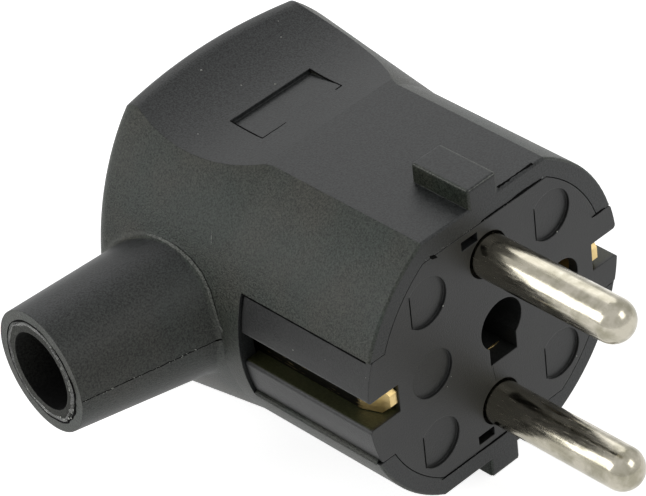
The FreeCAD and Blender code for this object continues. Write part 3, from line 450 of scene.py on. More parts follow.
    def shade_ribs(self, tree: Tree, place: Socket, mirrored: Socket) -> Socket:
        """Weaken the mirrored light on the ribs' side walls, as painted shade that darkens them.

        Args:
            tree: The node tree.
            place: The place coordinate's output socket.
            mirrored: The specular level's output socket so far.

        Returns:
            The new specular level's output socket.
        """
        axes = add(tree, "ShaderNodeSeparateXYZ", {0: place})
        aside = add(tree, "ShaderNodeMath", {0: axes.outputs["X"]}, operation="ABSOLUTE").outputs[0]
        near = add(tree, "ShaderNodeMath", {0: aside, 1: self.wall_within_mm}, operation="LESS_THAN")
        nearest, furthest = self.wall_turns
        aslant = self.sideways(tree)
        facing = add(tree, "ShaderNodeMapRange", {"Value": aslant, "From Min": nearest, "From Max": furthest})
        walls = add(tree, "ShaderNodeMath", {0: near.outputs[0], 1: facing.outputs[0]}, operation="MULTIPLY")
        kept = add(tree, "ShaderNodeMapRange", {
            "Value": walls.outputs[0],
            "To Min": 1.0,
            "To Max": self.wall_shine,
        }).outputs[0]
        return add(tree, "ShaderNodeMath", {0: mirrored, 1: kept}, operation="MULTIPLY").outputs[0]


class Metal(Enum):
    """The metals in the plug."""

    NICKEL = "nickel_plated_turned_brass"
    BRASS = "rolled_brass_strip"
    STEEL = "zinc_plated_steel"


@dataclass(frozen=True)
class WorkedMetal:
    """A metal with fine tool marks, tarnished spots and, where given, painted shade that thickens along the
    plug's length.

    The eye sees its own colour in the white surroundings that it mirrors, broken by fine
    marks, and duller patches where hands and oxygen have been.
    """

    metal: Metal
    bright: str
    dull: str
    roughness: float
    spread: float
    mark_mm: Triple = (0.4, 0.4, 0.4)
    mark_height_mm: float = 0.002
    stain_mm: float = 2.5
    # Tarnished spots, and on the brass painted shade, along the plug's length: their colour, the run over
    # which they thicken, and the spots' scale
    worn_and_shade: str = ""
    worn_and_shade_from_mm: float = 0.0
    worn_and_shade_to_mm: float = 0.0
    worn_and_shade_scale: float = 0.4
    # Two noises of about a half each and the share of that run add up: the colour starts at the first
    # of these sums and covers all at the second
    worn_and_shade_sums: Pair = (1.3, 1.85)

    @cache
    def make(self) -> bpy.types.Material:
        """Build the material, once for all pieces that wear it.

        Returns:
            The material.
        """
        material, tree, shader, place = new_material(self.metal.value)
        # Faint tarnish in slow patches
        stain = add(tree, "ShaderNodeTexNoise", {"Vector": place, "Scale": 1 / self.stain_mm, "Detail": 4.0})
        share = add(tree, "ShaderNodeMapRange", {
            "Value": stain.outputs["Fac"],
            "From Min": 0.4,
            "From Max": 0.65,
        })
        colour = add(tree, "ShaderNodeMix", {
            0: share.outputs[0],
            6: linear(self.bright),
            7: linear(self.dull),
        }, data_type="RGBA").outputs[2]
        # Fine marks, drawn out along the tool's path
        per_mm = tuple(1 / size for size in self.mark_mm)
        stretched = add(tree, "ShaderNodeVectorMath", {0: place, 1: per_mm}, operation="MULTIPLY")
        drawn = stretched.outputs["Vector"]
        marks = add(tree, "ShaderNodeTexNoise", {"Vector": drawn, "Scale": 1.0, "Detail": 3.0}).outputs["Fac"]
        # On the brass, this colour is painted shade deep in the plug
        if self.worn_and_shade:
            colour = self.tarnish_and_shade(tree, place, drawn, marks, colour)
        rough = add(tree, "ShaderNodeMapRange", {
            "Value": marks,
            "From Min": 0.3,
            "From Max": 0.7,
            "To Min": max(0.03, self.roughness - self.spread),
            "To Max": self.roughness + self.spread,
        })
        bump = add(tree, "ShaderNodeBump", {
            "Height": marks,
            "Distance": self.mark_height_mm * MM,
            "Strength": 1.0,
        })
        tree.links.new(colour, shader.inputs["Base Color"])
        tree.links.new(rough.outputs[0], shader.inputs["Roughness"])
        tree.links.new(bump.outputs["Normal"], shader.inputs["Normal"])
        shader.inputs["Metallic"].default_value = 1.0
        return material

    def tarnish_and_shade(
        self,
        tree: Tree,
        place: Socket,
        drawn: Socket,
        marks: Socket,
        colour: Socket,
    ) -> Socket:
        """Add tarnished spots and streaks, and on the brass painted shade, that thicken along the plug's
        length.

        Args:
            tree: The node tree.
            place: The place coordinate's output socket.
            drawn: The same, stretched along the marks.
            marks: The marks' output socket.
            colour: The colour's output socket so far.

        Returns:
            The new colour's output socket.
        """
        reach = add(tree, "ShaderNodeMapRange", {
            "Value": add(tree, "ShaderNodeSeparateXYZ", {0: place}).outputs["Y"],
            "From Min": self.worn_and_shade_from_mm,
            "From Max": self.worn_and_shade_to_mm,
        })
        spots = add(tree, "ShaderNodeTexNoise", {"Vector": drawn, "Scale": self.worn_and_shade_scale, "Detail": 4.0})
        both = add(tree, "ShaderNodeMath", {0: spots.outputs["Fac"], 1: marks}, operation="ADD")
        patch = add(tree, "ShaderNodeMath", {0: both.outputs[0], 1: reach.outputs[0]}, operation="ADD")
        fewest, most = self.worn_and_shade_sums
        worn_and_shade = add(tree, "ShaderNodeMapRange", {
            "Value": patch.outputs[0],
            "From Min": fewest,
            "From Max": most,
        })
        return add(tree, "ShaderNodeMix", {
            0: worn_and_shade.outputs[0],
            6: colour,
            7: linear(self.worn_and_shade),
        }, data_type="RGBA").outputs[2]


# A joint or parting line, and painted shade along low steps and edges: so dark and dull that the eye takes it
# for a gap
SEAM_AND_SHADE = MouldedPlastic(
    "abs_parting_line_and_painted_shade",
    "050505",
    "080808",
    edge_mm=0.02,
    roughness_low=0.7,
    roughness_high=0.9,
    specular=0.04,
)
# Flash that was stretched until it went pale, and dust of the same tone
FLASH = MouldedPlastic(
    "stress_whitened_abs_flash",
    "B4B5AF",
    "96988F",
    edge_mm=0.02,
    roughness_low=0.25,
    roughness_high=0.4,
)
# A torn edge: dark, shiny and broken up, so that it glints here and there
TORN = MouldedPlastic(
    "torn_abs_edge",
    "1A1B19",
    "5C5D57",
    edge_mm=0.02,
    roughness_low=0.12,
    roughness_high=0.3,
    flow_mm=0.9,
    specular=0.7,
)
# Painted highlight on rounded edges and along the sleeve's root: a little lighter than the grain beside it
EDGE_HIGHLIGHT = MouldedPlastic(
    "abs_painted_edge_highlight",
    "454842",
    "51534D",
    edge_mm=0.02,
    roughness_low=0.3,
    roughness_high=0.45,
)


# Sub-assemblies


@dataclass
class Shell:
    """The one-piece housing: barrel, flat sides, flared grip end and coding ribs.

    All sizes are in millimetres. The pair of a fine ridge is its width and its height.
    """

    # Grained black ABS, greenish where the grain is and neutral on the polished label side
    finish: MouldedPlastic = MouldedPlastic(
        "moulded_abs_black_grained",
        "242B25",
        "2E2F28",
        plain_and_bore_shade="1E2020",
        wall_within_mm=7.0,
    )
    dust: tuple[Triple, ...] = (
        (8.16, 36.98, 17.47),
        (6.88, 35.31, 16.87),
        (-2.96, 37.04, 17.49),
        (-1.15, 33.14, 16.27),
        (1.52, 30.9, 15.85),
        (-9.45, 30.96, 15.86),
        (-6.97, 16.23, 16.25),
    )
    dust_mm: float = 0.13
    scratch: tuple[Triple, ...] = (
        (-15.34, 23.54, 10.93),
        (-15.77, 23.3, 10.22),
        (-16.17, 23.05, 9.51),
    )
    scratch_faces: Triple = (-0.84, -0.11, 0.53)
    scratch_widths: Triple = (0.02, 0.07, 0.02)
    scratch_heights: Triple = (0.01, 0.03, 0.01)
    label_half: float = 5.72
    label_front: float = 25.4
    label_rear: float = 30.1
    label_front_left: float = 3.4
    label_front_right: float = 0.9
    # The dark line of painted shade round the label panel, and its narrowing
    label_shade_bead: Pair = (0.26, 0.045)
    label_narrowing: float = 0.16
    scoop_place: float = 27.3
    scoop_low: float = 15.6
    scoop_radius: float = 26.0
    # The dark line of painted shade behind the flat's front edge
    edge_shade_run: Pair = (2.4, 7.4)
    edge_shade_place: float = 0.36
    edge_shade_rise: float = 16.25
    edge_shade_bead: Pair = (0.26, 0.06)
    edge_shade_widening: float = 0.2
    # Each side window's name, its side and half its height
    windows: tuple[tuple[str, float, float], ...] = (("left", -1.0, 6.5), ("right", 1.0, 5.0))
    window_run: Pair = (0.45, 17.85)
    window_joint: Pair = (0.24, 0.03)
    window_rim: Pair = (0.7, 0.12)
    window_rim_inset: float = 0.16
    window_rim_drop: float = 0.14
    body_radius: float = 18.5
    rib_half: float = 1.98
    rib_top: float = 18.4
    rib_run: Pair = (0.3, 7.45)
    rib_bevel: float = 0.1
    rib_edge_highlight: Pair = (0.15, 0.035)
    # The line of painted highlight along the sleeve's root
    root_line_widths: Pair = (0.25, 0.75)
    root_line_height: float = 0.06
    root_ring: tuple[Triple, ...] = (
        (-17.82, 30.93, 8.01),
        (-17.67, 29.05, 8.18),
        (-17.61, 27.08, 7.98),
        (-17.61, 25.12, 7.35),
        (-17.74, 23.52, 6.41),
        (-18.05, 22.23, 5.05),
        (-18.37, 21.41, 3.59),
        (-18.49, 20.89, 2.37),
        (-18.47, 20.38, 1.05),
    )

    def build(self) -> None:
        """Build every fine piece on the housing."""
        self.build_specks()
        self.build_front_edge_shade()
        self.build_window_edges()
        self.build_root_highlight()
        self.build_rib_edge_highlights()
        self.build_label_shade_lines()

    def build_specks(self) -> None:
        """Build the specks of dust and the short scratch on the barrel."""
        flash = FLASH.make()
        spots = [(Vector(place), UP) for place in self.dust]
        new_piece("dust_specks", crumb_mesh(spots, self.dust_mm, seed=4), flash)
        path = [Vector(place) for place in self.scratch]
        outward = Vector(self.scratch_faces).normalized()
        shape = bead_mesh(path, outward, list(self.scratch_widths), list(self.scratch_heights))
        new_piece("side_scratch", shape, flash)

    def build_front_edge_shade(self) -> None:
        """Build the dark line of painted shade behind the front edge, widest at its ends."""
        steps = 14
        first, second = (Vector((across, self.edge_shade_place, self.edge_shade_rise)) for across in self.edge_shade_run)
        width, height = self.edge_shade_bead
        dice = random.Random(8)
        path = straight(first, second, steps)
        for place in path:
            place.y += dice.uniform(-0.03, 0.03)
        widths = [
            width + self.edge_shade_widening * (2 * number / steps - 1) ** 2 + dice.uniform(-0.05, 0.05)
            for number in range(steps + 1)
        ]
        heights = [height + dice.uniform(-0.02, 0.02) for _ in path]
        new_piece("front_edge_shade", bead_mesh(path, UP, widths, heights), SEAM_AND_SHADE.make())

    def build_window_edges(self) -> None:
        """Build the dark joint over each side window and the thin moulded rim under it."""
        front, rear = self.window_run
        width, height = self.window_joint
        dice = random.Random(5)
        for side, sign, half in self.windows:
            out = math.sqrt(self.body_radius ** 2 - half ** 2)
            over = straight(Vector((sign * out, front, half)), Vector((sign * out, rear, half)), 24)
            inset = sign * (out - self.window_rim_inset)
            under = [Vector((inset, place.y, self.window_rim_drop - half)) for place in over]
            tilted = Vector((sign * out, 0, half)).normalized()
            lifted = Vector((sign * 0.8, 0, 0.6)).normalized()
            widths = [width + dice.uniform(-0.03, 0.05) for _ in over]
            joint = bead_mesh(over, tilted, widths, height)
            rim = bead_mesh(under, lifted, *self.window_rim)
            new_piece("window_joint_" + side, joint, SEAM_AND_SHADE.make())
            new_piece("window_rim_" + side, rim, self.finish.make())

    def build_rib_edge_highlights(self) -> None:
        """Build the fine line of painted highlight on three outer edges of each coding rib."""
        half = self.rib_half
        front, rear = self.rib_run
        bevel = self.rib_bevel
        width, height = self.rib_edge_highlight
        dice = random.Random(14)
        for name, rise in (("upper", 1.0), ("lower", -1.0)):
            for edge, ends, away in (
                ("left", ((-half, front), (-half, rear)), (-0.7, 0.0)),
                ("right", ((half, front), (half, rear)), (0.7, 0.0)),
                ("front", ((bevel - half, bevel), (half - bevel, bevel)), (0.0, -0.7)),
            ):
                first, second = (Vector((across, back, self.rib_top * rise)) for across, back in ends)
                path = straight(first, second, 10)
                widths = [width + dice.uniform(-0.04, 0.04) for _ in path]
                outward = Vector((away[0], away[1], 0.7 * rise)).normalized()
                shape = bead_mesh(path, outward, widths, height)
                new_piece(f"rib_{name}_{edge}_edge", shape, EDGE_HIGHLIGHT.make())

    def build_root_highlight(self) -> None:
        """Build the fine line of painted highlight along the round where the sleeve meets the housing."""
        places = [Vector(place) for place in self.root_ring]
        path: list[Vector] = []
        for first, second in zip(places, places[1:]):
            path += straight(first, second, 4)[:-1]
        path.append(places[-1])
        outward = [Vector((place.x, 0, place.z)).normalized() for place in path]
        last = len(path) - 1
        thin, thick = self.root_line_widths
        # Thickest halfway round, and thin again towards both ends
        widths = [
            thin + (thick - thin) * math.sin(math.pi * (0.1 + 0.85 * number / last))
            for number in range(last + 1)
        ]
        shape = bead_mesh(path, outward, widths, self.root_line_height)
        new_piece("sleeve_root_highlight", shape, EDGE_HIGHLIGHT.make())

    def on_scoop(self, across: float, back: float) -> tuple[Vector, Vector]:
        """A place on the upper finger scoop.

        Args:
            across: Its place across the plug, in millimetres.
            back: Its place along the plug, in millimetres.

        Returns:
            The place in millimetres and the surface's direction outwards.
        """
        run = back - self.scoop_place
        drop = math.sqrt(self.scoop_radius ** 2 - run ** 2)
        place = Vector((across, back, self.scoop_low + self.scoop_radius - drop))
        return place, Vector((0, -run, drop)).normalized()

    def build_label_shade_lines(self) -> None:
        """Build the dark line of painted shade that frames the bare label panel where its step is low."""
        half, front, rear = self.label_half, self.label_front, self.label_rear
        width, height = self.label_shade_bead
        steps = 8
        for name, first, second, narrowing in (
            ("left", (-half, rear), (-half, front), 0.0),
            ("right", (half, rear), (half, front), 0.0),
            ("front_left", (-half, front), (self.label_front_left - half, front), self.label_narrowing),
            ("front_right", (half - self.label_front_right, front), (half, front), 0.0),
        ):
            spots = [self.on_scoop(*place) for place in straight(Vector(first), Vector(second), steps)]
            path = [place for place, _ in spots]
            outward = [away for _, away in spots]
            widths = [width - narrowing * number / steps for number in range(steps + 1)]
            shape = bead_mesh(path, outward, widths, height)
            new_piece("label_edge_shade_" + name, shape, SEAM_AND_SHADE.make())

    def dress(self) -> None:
        """Dress the housing."""
        dress("housing", self.finish.make())


@dataclass
class CableSleeve:
    """The tapered sleeve's parting line, its torn mouth and the soft lining in it.

    All sizes are in millimetres, and the tilt is in degrees. The pair of a fine ridge is its
    width and its height.
    """

    # Soft grey PVC that is dull at its end face, with painted shade that makes its bore near black
    finish: MouldedPlastic = MouldedPlastic(
        "soft_pvc_lining",
        "30312E",
        "3F403C",
        plain_and_bore_shade="040404",
        roughness_low=0.6,
        roughness_high=0.8,
        specular=0.15,
    )
    root: Triple = (-18.5, 29.0, 0.0)
    tilt: float = 9.0
    root_radius: float = 8.7
    end_radius: float = 6.9
    length: float = 15.2
    slant: float = 0.45
    mouth_radius: float = 5.47
    seam_root: tuple[Triple, ...] = (
        (-18.51, 20.51, 0.0),
        (-18.75, 20.7, 0.0),
        (-19.13, 20.9, 0.0),
        (-19.6, 21.02, 0.0),
    )
    seam_root_faces: Triple = (-0.5, -0.86, 0.0)
    seam_root_line: Pair = (0.18, 0.04)
    seam_line: Pair = (0.15, 0.03)
    flash_mm: float = 0.07
    flash_count: int = 26
    gap: Pair = (0.42, 0.06)
    gap_outside: float = 0.28
    burr: Pair = (0.46, 0.2)
    burr_inside: float = 0.1
    flake_mm: float = 0.17
    flake_count: int = 30

    def axis(self) -> Vector:
        """The direction out along the sleeve."""
        lean = math.radians(self.tilt)
        return Vector((-math.cos(lean), math.sin(lean), 0))

    def spot(self, along: float, turn: float, reach: float) -> tuple[Vector, Vector]:
        """A place about the sleeve's axis.

        Args:
            along: How far out along the sleeve, in millimetres.
            turn: The angle about the axis in radians, from the front side.
            reach: The distance from the axis, in millimetres.

        Returns:
            The place in millimetres and the direction straight away from the axis.
        """
        lean = math.radians(self.tilt)
        front = Vector((-math.sin(lean), -math.cos(lean), 0))
        away = front * math.cos(turn) + UP * math.sin(turn)
        return Vector(self.root) + self.axis() * along + away * reach, away

    def radius(self, along: float) -> float:
        """The sleeve's outer radius that far out."""
        run = self.length + self.slant + self.root_radius
        taper = (self.root_radius - self.end_radius) / run
        return self.root_radius - taper * (along + self.root_radius)

    def end(self, turn: float, reach: float) -> float:
        """How far out the slanted end face lies at that angle and distance from the axis."""
        return self.length - self.slant * reach * math.cos(turn) / (self.end_radius + 2)

    def build(self) -> None:
        """Build the parting line with its flash, and the torn rim of the mouth."""
        dice = random.Random(21)
        self.build_seam("front", 0.0, 0.4, dice)
        self.build_seam("rear", math.pi, 0.5, dice)
        self.build_mouth()

    def build_seam(self, side: str, turn: float, start: float, dice: random.Random) -> None:
        """Build one side's parting line and the specks of flash along it.

        Args:
            side: The side's name.
            turn: Its angle about the axis in radians, from the front side.
            start: Where it starts along the sleeve, in millimetres.
            dice: The source of its unevenness.
        """
        steps = 46
        stop = self.end(turn, self.end_radius) - 0.05
        # In front it first climbs the round at the sleeve's root
        path = [Vector(place) for place in self.seam_root] if side == "front" else []
        outward = [Vector(self.seam_root_faces)] * len(path)
        widths = [self.seam_root_line[0]] * len(path)
        heights = [self.seam_root_line[1]] * len(path)
        for number in range(steps + 1):
            along = start + (stop - start) * number / steps
            place, away = self.spot(along, turn + dice.uniform(-0.006, 0.006), self.radius(along))
            path.append(place)
            outward.append(away)
            widths.append(self.seam_line[0] + dice.uniform(-0.04, 0.05))
            heights.append(self.seam_line[1] + dice.uniform(-0.01, 0.02))
        seam = bead_mesh(path, outward, widths, heights)
        new_piece("sleeve_seam_" + side, seam, SEAM_AND_SHADE.make())
        spots = []
        for _ in range(self.flash_count):
            # Somewhat more of the specks lie towards the sleeve's end
            along = start + (stop - start) * dice.random() ** 0.8
            spots.append(self.spot(along, turn + dice.uniform(-0.012, 0.02), self.radius(along) + 0.03))
        flash = crumb_mesh(spots, self.flash_mm, seed=5)
        new_piece("sleeve_flash_" + side, flash, FLASH.make())

    def build_mouth(self) -> None:
        """Build the gap, the torn rim and the loose flakes where the lining meets the sleeve's end."""
        dice = random.Random(33)
        steps = 72
        # The gap sways a third as much as the burr
        for name, reach, sway, (width, rise), finish in (
            ("mouth_gap", self.mouth_radius + self.gap_outside, 1 / 3, self.gap, SEAM_AND_SHADE),
            ("mouth_burr", self.mouth_radius - self.burr_inside, 1.0, self.burr, TORN),
        ):
            path: list[Vector] = []
            widths: list[float] = []
            heights: list[float] = []
            for number in range(steps + 1):
                turn = 2 * math.pi * (number % steps) / steps
                # The tear is worst on the front side
                torn = max(0.0, math.cos(turn + 0.15)) ** 2
                # Slow waves with quicker ones on them
                waves = math.sin(5 * turn + 0.7) + 0.7 * math.sin(11 * turn)
                where = reach + sway * ((0.06 + 0.14 * torn) * waves + dice.uniform(-0.05, 0.05))
                path.append(self.spot(self.end(turn, where), turn, where)[0])
                thick = 0.5 + 0.5 * math.sin(3 * turn + 1.1) * math.sin(7 * turn)
                widths.append(width * (0.4 + 0.6 * thick + 0.9 * torn * dice.random()))
                heights.append(rise * (0.3 + 0.6 * thick + 1.2 * torn * dice.random()))
            # The ring ends where it began
            path[-1] = path[0].copy()
            widths[-1] = widths[0]
            heights[-1] = heights[0]
            new_piece(name, bead_mesh(path, self.axis(), widths, heights), finish.make())
        flakes = []
        for _ in range(self.flake_count):
            turn = dice.gauss(-0.1, 0.38)
            where = self.mouth_radius + dice.uniform(-0.35, 0.25)
            flakes.append((self.spot(self.end(turn, where) + 0.1, turn, where)[0], self.axis()))
        shape = crumb_mesh(flakes, self.flake_mm, seed=17)
        new_piece("mouth_flakes", shape, FLASH.make())

    def dress(self) -> None:
        """Dress the lining."""
        dress("cable_bush", self.finish.make())


@dataclass
class Insert:
    """The contact carrier that fills the front, with the rear plate behind it.

    All sizes are in millimetres.
    """

    # Smoother black polyamide, with painted olive light in the slots beside the earth strip, where the brass
    # strip reflects
    finish: MouldedPlastic = MouldedPlastic(
        "moulded_pa_insert_black",
        "1A1B1B",
        "202120",
        brass_bounce="2C2E1B",
        roughness_low=0.36,
        roughness_high=0.5,
        grain_height_mm=0.03,
        grain_tone=0.3,
        edge_mm=0.15,
    )
    joint_rise: float = 13.85
    # Each joint's side, its number of specks of flash, their run across and how far out they stray
    joint_flash: tuple[tuple[int, int, Pair, float], ...] = (
        (1, 44, (-9.0, 8.6), 0.28),
        (-1, 16, (-9.6, 1.0), 0.25),
    )
    joint_flash_mm: float = 0.06
    # Each gap's name, its two ends as places across and up the face, and its widest
    joint_gaps: tuple[tuple[str, Pair, Pair, float], ...] = (
        ("upper_left", (-0.6, 13.98), (3.4, 13.98), 0.4),
        ("upper_right", (2.9, 13.98), (8.2, 14.0), 0.6),
        ("lower_left", (-9.2, -13.92), (-4.2, -13.95), 0.34),
        ("lower_right", (-4.4, -13.95), (2.2, -13.95), 0.5),
        ("corner_left", (-7.9, 14.1), (-6.9, 13.4), 0.6),
        ("corner_right", (15.0, 5.0), (17.0, 5.0), 0.5),
    )
    recess_place: float = 9.0
    recess_flat: float = 2.15
    recess_half: float = 2.0
    # The width of the dark line of painted shade, at its ends and between them
    recess_widths: Pair = (0.12, 0.22)
    recess_height: float = 0.05
    gap_narrowest: float = 0.1
    gap_height: float = 0.08
    # Each speck's place and the surface's direction outwards there
    dust: tuple[tuple[Triple, Triple], ...] = (
        ((-6.71, 0, 7.18), (0, -1, 0)),
        ((-6.55, 0, -2.0), (0, -1, 0)),
        ((-7.2, 0, -2.9), (0, -1, 0)),
        ((-6.7, 0, -10.92), (0, -1, 0)),
        ((11.4, 0, -10.95), (0, -1, 0)),
        ((9.9, 0, 6.3), (0, -1, 0)),
        ((-17.79, 10.52, 3.31), (-0.98, 0, 0.19)),
        ((-17.47, 0.5, 4.71), (-0.96, 0, 0.27)),
        ((-17.6, 6.1, 4.22), (-0.97, 0, 0.23)),
    )
    dust_mm: float = 0.11
    weld: tuple[Triple, ...] = ((-0.72, 0.0, -3.9), (-0.6, 0.0, -5.2), (-0.4, 0.0, -6.6))
    weld_widths: Triple = (0.08, 0.12, 0.08)
    weld_heights: Triple = (0.012, 0.02, 0.012)

    def build(self) -> None:
        """Build every fine piece on the front face."""
        path = [Vector(place) for place in self.weld]
        shape = bead_mesh(path, FORWARDS, list(self.weld_widths), list(self.weld_heights))
        new_piece("weld_line", shape, SEAM_AND_SHADE.make())
        self.build_joint_gaps()
        self.build_recess_edges()
        self.build_joint_flash()

    def build_joint_gaps(self) -> None:
        """Build the uneven dark gaps where the housing's rim has shrunk from the insert."""
        steps = 12
        dice = random.Random(3)
        for name, start, stop, widest in self.joint_gaps:
            path = straight(Vector((start[0], 0.0, start[1])), Vector((stop[0], 0.0, stop[1])), steps)
            swelling = widest - self.gap_narrowest
            widths = [
                self.gap_narrowest + swelling * math.sin(math.pi * number / steps) * dice.uniform(0.7, 1.1)
                for number in range(steps + 1)
            ]
            shape = bead_mesh(path, FORWARDS, widths, self.gap_height)
            new_piece("joint_gap_" + name, shape, SEAM_AND_SHADE.make())

    def build_recess_edges(self) -> None:
        """Build the sharp dark line of painted shade at each recess's flat and the dust at the recesses'
        rims.
        """
        steps = 8
        end, between = self.recess_widths
        widths = [end] + [between] * (steps - 1) + [end]
        for number, (across, up) in enumerate(((-1, 1), (-1, -1), (1, 1), (1, -1)), start=1):
            edge = self.recess_place * across - self.recess_flat
            middle = self.recess_place * up
            low = Vector((edge, 0, middle - self.recess_half))
            high = Vector((edge, 0, middle + self.recess_half))
            shape = bead_mesh(straight(low, high, steps), FORWARDS, widths, self.recess_height)
            new_piece(f"recess_flat_shade_{number}", shape, SEAM_AND_SHADE.make())
        spots = [(Vector(place), Vector(away)) for place, away in self.dust]
        specks = crumb_mesh(spots, self.dust_mm, seed=6)
        new_piece("insert_dust_specks", specks, FLASH.make())

    def build_joint_flash(self) -> None:
        """Build the specks of flash along the upper and the lower joint."""
        dice = random.Random(12)
        spots = []
        for side, count, run, stray in self.joint_flash:
            for _ in range(count):
                across = dice.uniform(*run)
                rise = side * (self.joint_rise + dice.uniform(-0.05, stray))
                spots.append((Vector((across, 0.0, rise)), FORWARDS))
        shape = crumb_mesh(spots, self.joint_flash_mm, seed=9)
        new_piece("joint_flash", shape, FLASH.make())

    def dress(self) -> None:
        """Dress the insert, its plate and the cable clamp."""
        for node in ("contact_carrier", "pin_retainer", "cable_clamp"):
            dress(node, self.finish.make())


@dataclass
class Pins:
    """The two round pins."""

    # Warm nickel plate, bright at the tips and thinly tarnished towards the face
    finish: WorkedMetal = WorkedMetal(
        Metal.NICKEL,
        "B2AD9F",
        "918D7D",
        roughness=0.2,
        spread=0.08,
        mark_mm=(0.22, 1.5, 0.22),
        mark_height_mm=0.004,
        stain_mm=1.6,
        worn_and_shade="AAA595",
        worn_and_shade_from_mm=-17.0,
        worn_and_shade_to_mm=2.0,
    )

    def build(self) -> None:
        """Build nothing: both pins keep their solids."""

    def dress(self) -> None:
        """Dress both pins."""
        for node in ("pin_line", "pin_neutral"):
            dress(node, self.finish.make())


@dataclass
class EarthParts:
    """The brass earth strip, the earth socket and the centre insert."""

    # Yellow rolled brass, bright at the face and almost black behind it with painted shade, where it lies
    # deep in the plug
    finish: WorkedMetal = WorkedMetal(
        Metal.BRASS,
        "D8C08A",
        "BFA66E",
        roughness=0.36,
        spread=0.08,
        mark_mm=(0.2, 1.2, 0.2),
        mark_height_mm=0.004,
        worn_and_shade="12110A",
        worn_and_shade_from_mm=2.4,
        worn_and_shade_to_mm=4.2,
    )
    swarf: tuple[Triple, ...] = ((0.75, 2.1, -4.29), (1.6, 2.06, -4.29), (2.5, 2.12, -4.29))
    swarf_faces: Triple = (0.0, -0.5, 0.86)
    swarf_widths: Triple = (0.1, 0.3, 0.12)
    swarf_heights: Triple = (0.04, 0.12, 0.05)

    def build(self) -> None:
        """Build the curl of swarf that glints in the middle hole."""
        path = [Vector(place) for place in self.swarf]
        outward = Vector(self.swarf_faces)
        shape = bead_mesh(path, outward, list(self.swarf_widths), list(self.swarf_heights))
        new_piece("brass_swarf", shape, self.finish.make())

    def dress(self) -> None:
        """Dress the brass pieces."""
        for node in ("earth_bow", "earth_socket", "centre_insert"):
            dress(node, self.finish.make())


@dataclass
class Fasteners:
    """Every steel screw, washer and nut."""

    # Cool, slightly milky zinc on steel
    finish: WorkedMetal = WorkedMetal(Metal.STEEL, "BDBDB8", "9FA09C", roughness=0.3, spread=0.08)
    nodes: tuple[str, ...] = (
        "terminal_screw_line",
        "terminal_screw_neutral",
        "saddle_washer_line",
        "saddle_washer_neutral",
        "earth_screw",
        "earth_washer",
        "earth_nut",
        "centre_screw",
        "clamp_screw_upper",
        "clamp_screw_lower",
        "retainer_screw_left",
        "retainer_screw_right",
    )

    def build(self) -> None:
        """Build nothing: the fasteners keep their solids."""

    def dress(self) -> None:
        """Dress the steel pieces."""
        for node in self.nodes:
            dress(node, self.finish.make())


# Studio


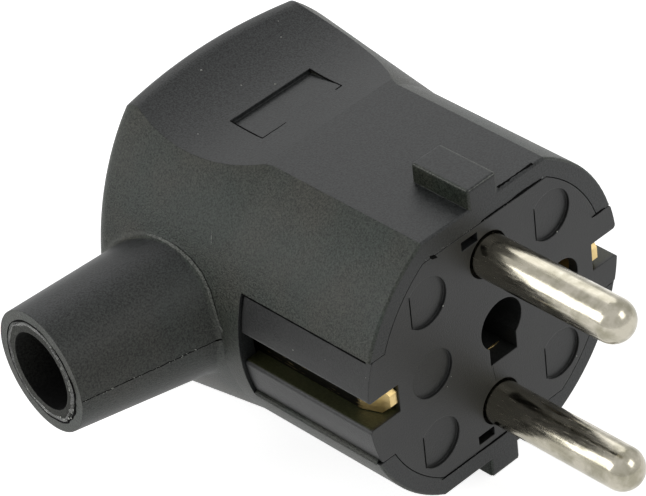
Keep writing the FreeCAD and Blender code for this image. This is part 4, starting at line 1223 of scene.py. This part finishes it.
@dataclass
class Studio:
    """The floor, the light and the camera."""

    lens_mm: float = 231.47
    sensor_mm: float = 36.0
    # The camera's place and the directions of its right, down and ahead, fitted to the photograph
    eye_mm: Triple = (-225.14, -234.61, 262.87)
    right: Triple = (0.70314742, -0.70498892, -0.0925977)
    down: Triple = (-0.48559954, -0.38098898, -0.78679126)
    ahead: Triple = (0.51940042, 0.59819564, -0.61023371)
    fill: float = 0.3
    floor_glow: float = 0.83
    aim: Triple = (-0.005, 0.015, 0.0)
    # Each lamp's name, place in metres, side in metres and power in watts
    softboxes: tuple[tuple[str, Triple, float, float], ...] = (
        ("softbox_left_behind", (-0.58, 0.42, 0.33), 0.45, 2.45),
        ("softbox_right_behind", (0.42, 0.48, 0.49), 0.5, 1.05),
        ("softbox_front", (0.22, -0.62, 0.58), 0.4, 1.5),
    )

    def seen(self, tree: Tree) -> Socket:
        """Whether a ray comes from the camera, a mirroring surface or a clear one.

        Args:
            tree: The node tree.

        Returns:
            The output socket, 1 for such a ray.
        """
        rays = add(tree, "ShaderNodeLightPath").outputs
        camera, glossy, clear = (rays[f"Is {kind} Ray"] for kind in ("Camera", "Glossy", "Transmission"))
        direct = add(tree, "ShaderNodeMath", {0: camera, 1: glossy}, operation="MAXIMUM").outputs[0]
        return add(tree, "ShaderNodeMath", {0: direct, 1: clear}, operation="MAXIMUM").outputs[0]

    def add_floor(self, height: float) -> None:
        """Lay the pale floor under the plug.

        Args:
            height: The floor's height in metres.
        """
        bpy.ops.mesh.primitive_plane_add(size=6.0, location=(0, 0, height))
        floor = bpy.context.object
        floor.name = "floor"
        # White paper that keeps a faint shadow and otherwise shows as white
        material = bpy.data.materials.new("white_paper_sweep")
        material.use_nodes = True
        tree = material.node_tree
        tree.nodes.clear()
        output = add(tree, "ShaderNodeOutputMaterial")
        share = add(tree, "ShaderNodeMath", {0: self.seen(tree), 1: self.floor_glow}, operation="MULTIPLY")
        paper = add(tree, "ShaderNodeBsdfDiffuse", {"Color": (0.8, 0.8, 0.8, 1.0)})
        glow = add(tree, "ShaderNodeEmission", {"Color": WHITE, "Strength": share.outputs[0]})
        both = add(tree, "ShaderNodeAddShader", {0: paper.outputs[0], 1: glow.outputs[0]})
        tree.links.new(both.outputs[0], output.inputs["Surface"])
        floor.data.materials.append(material)
        floor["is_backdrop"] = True
        LOG.info("floor at %.4f m", height)

    def add_world(self) -> None:
        """Make the even surroundings, which show as white behind the plug."""
        world = bpy.data.worlds.new("studio_white")
        bpy.context.scene.world = world
        world.use_nodes = True
        tree = world.node_tree
        tree.nodes.clear()
        output = add(tree, "ShaderNodeOutputWorld")
        fill = add(tree, "ShaderNodeBackground", {"Color": WHITE, "Strength": self.fill})
        backdrop = add(tree, "ShaderNodeBackground", {"Color": WHITE, "Strength": 1.0})
        seen = self.seen(tree)
        mixed = add(tree, "ShaderNodeMixShader", {0: seen, 1: fill.outputs[0], 2: backdrop.outputs[0]})
        tree.links.new(mixed.outputs[0], output.inputs["Surface"])

    def add_softbox(self, name: str, place: Triple, width: float, power: float) -> None:
        """Hang one square softbox that faces the plug.

        Args:
            name: The lamp's name.
            place: Its place in metres.
            width: Its side in metres.
            power: Its power in watts.
        """
        lamp = bpy.data.lights.new(name, "AREA")
        lamp.shape = "SQUARE"
        lamp.size = width
        lamp.energy = power
        holder = bpy.data.objects.new(name, lamp)
        bpy.context.scene.collection.objects.link(holder)
        holder.location = place
        holder.rotation_euler = (Vector(self.aim) - Vector(place)).to_track_quat("-Z", "Y").to_euler()

    def add_camera(self) -> None:
        """Set the camera at the photograph's viewpoint."""
        data = bpy.data.cameras.new("camera")
        data.lens = self.lens_mm
        data.sensor_width = self.sensor_mm
        data.sensor_fit = "HORIZONTAL"
        data.clip_start = 0.01
        data.clip_end = 20.0
        camera = bpy.data.objects.new("camera", data)
        bpy.context.scene.collection.objects.link(camera)
        turned = Matrix((Vector(self.right), -Vector(self.down), -Vector(self.ahead))).transposed().to_4x4()
        camera.matrix_world = Matrix.Translation(Vector(self.eye_mm) * MM) @ turned
        bpy.context.scene.camera = camera

    def build(self, height: float) -> None:
        """Set up the whole studio.

        Args:
            height: The floor's height in metres.
        """
        self.add_floor(height)
        self.add_world()
        for softbox in self.softboxes:
            self.add_softbox(*softbox)
        self.add_camera()
        bpy.context.scene.view_settings.view_transform = "Standard"


def main() -> None:
    """Dress the plug and set up its studio."""
    logging.basicConfig(level=logging.INFO, format="%(message)s")
    frame_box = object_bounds()
    for part in (Shell(), CableSleeve(), Insert(), Pins(), EarthParts(), Fasteners()):
        part.build()
        part.dress()
        LOG.info("finished %s", type(part).__name__)
    Studio().build(frame_box[0].z)


if __name__ == "__main__":
    main()
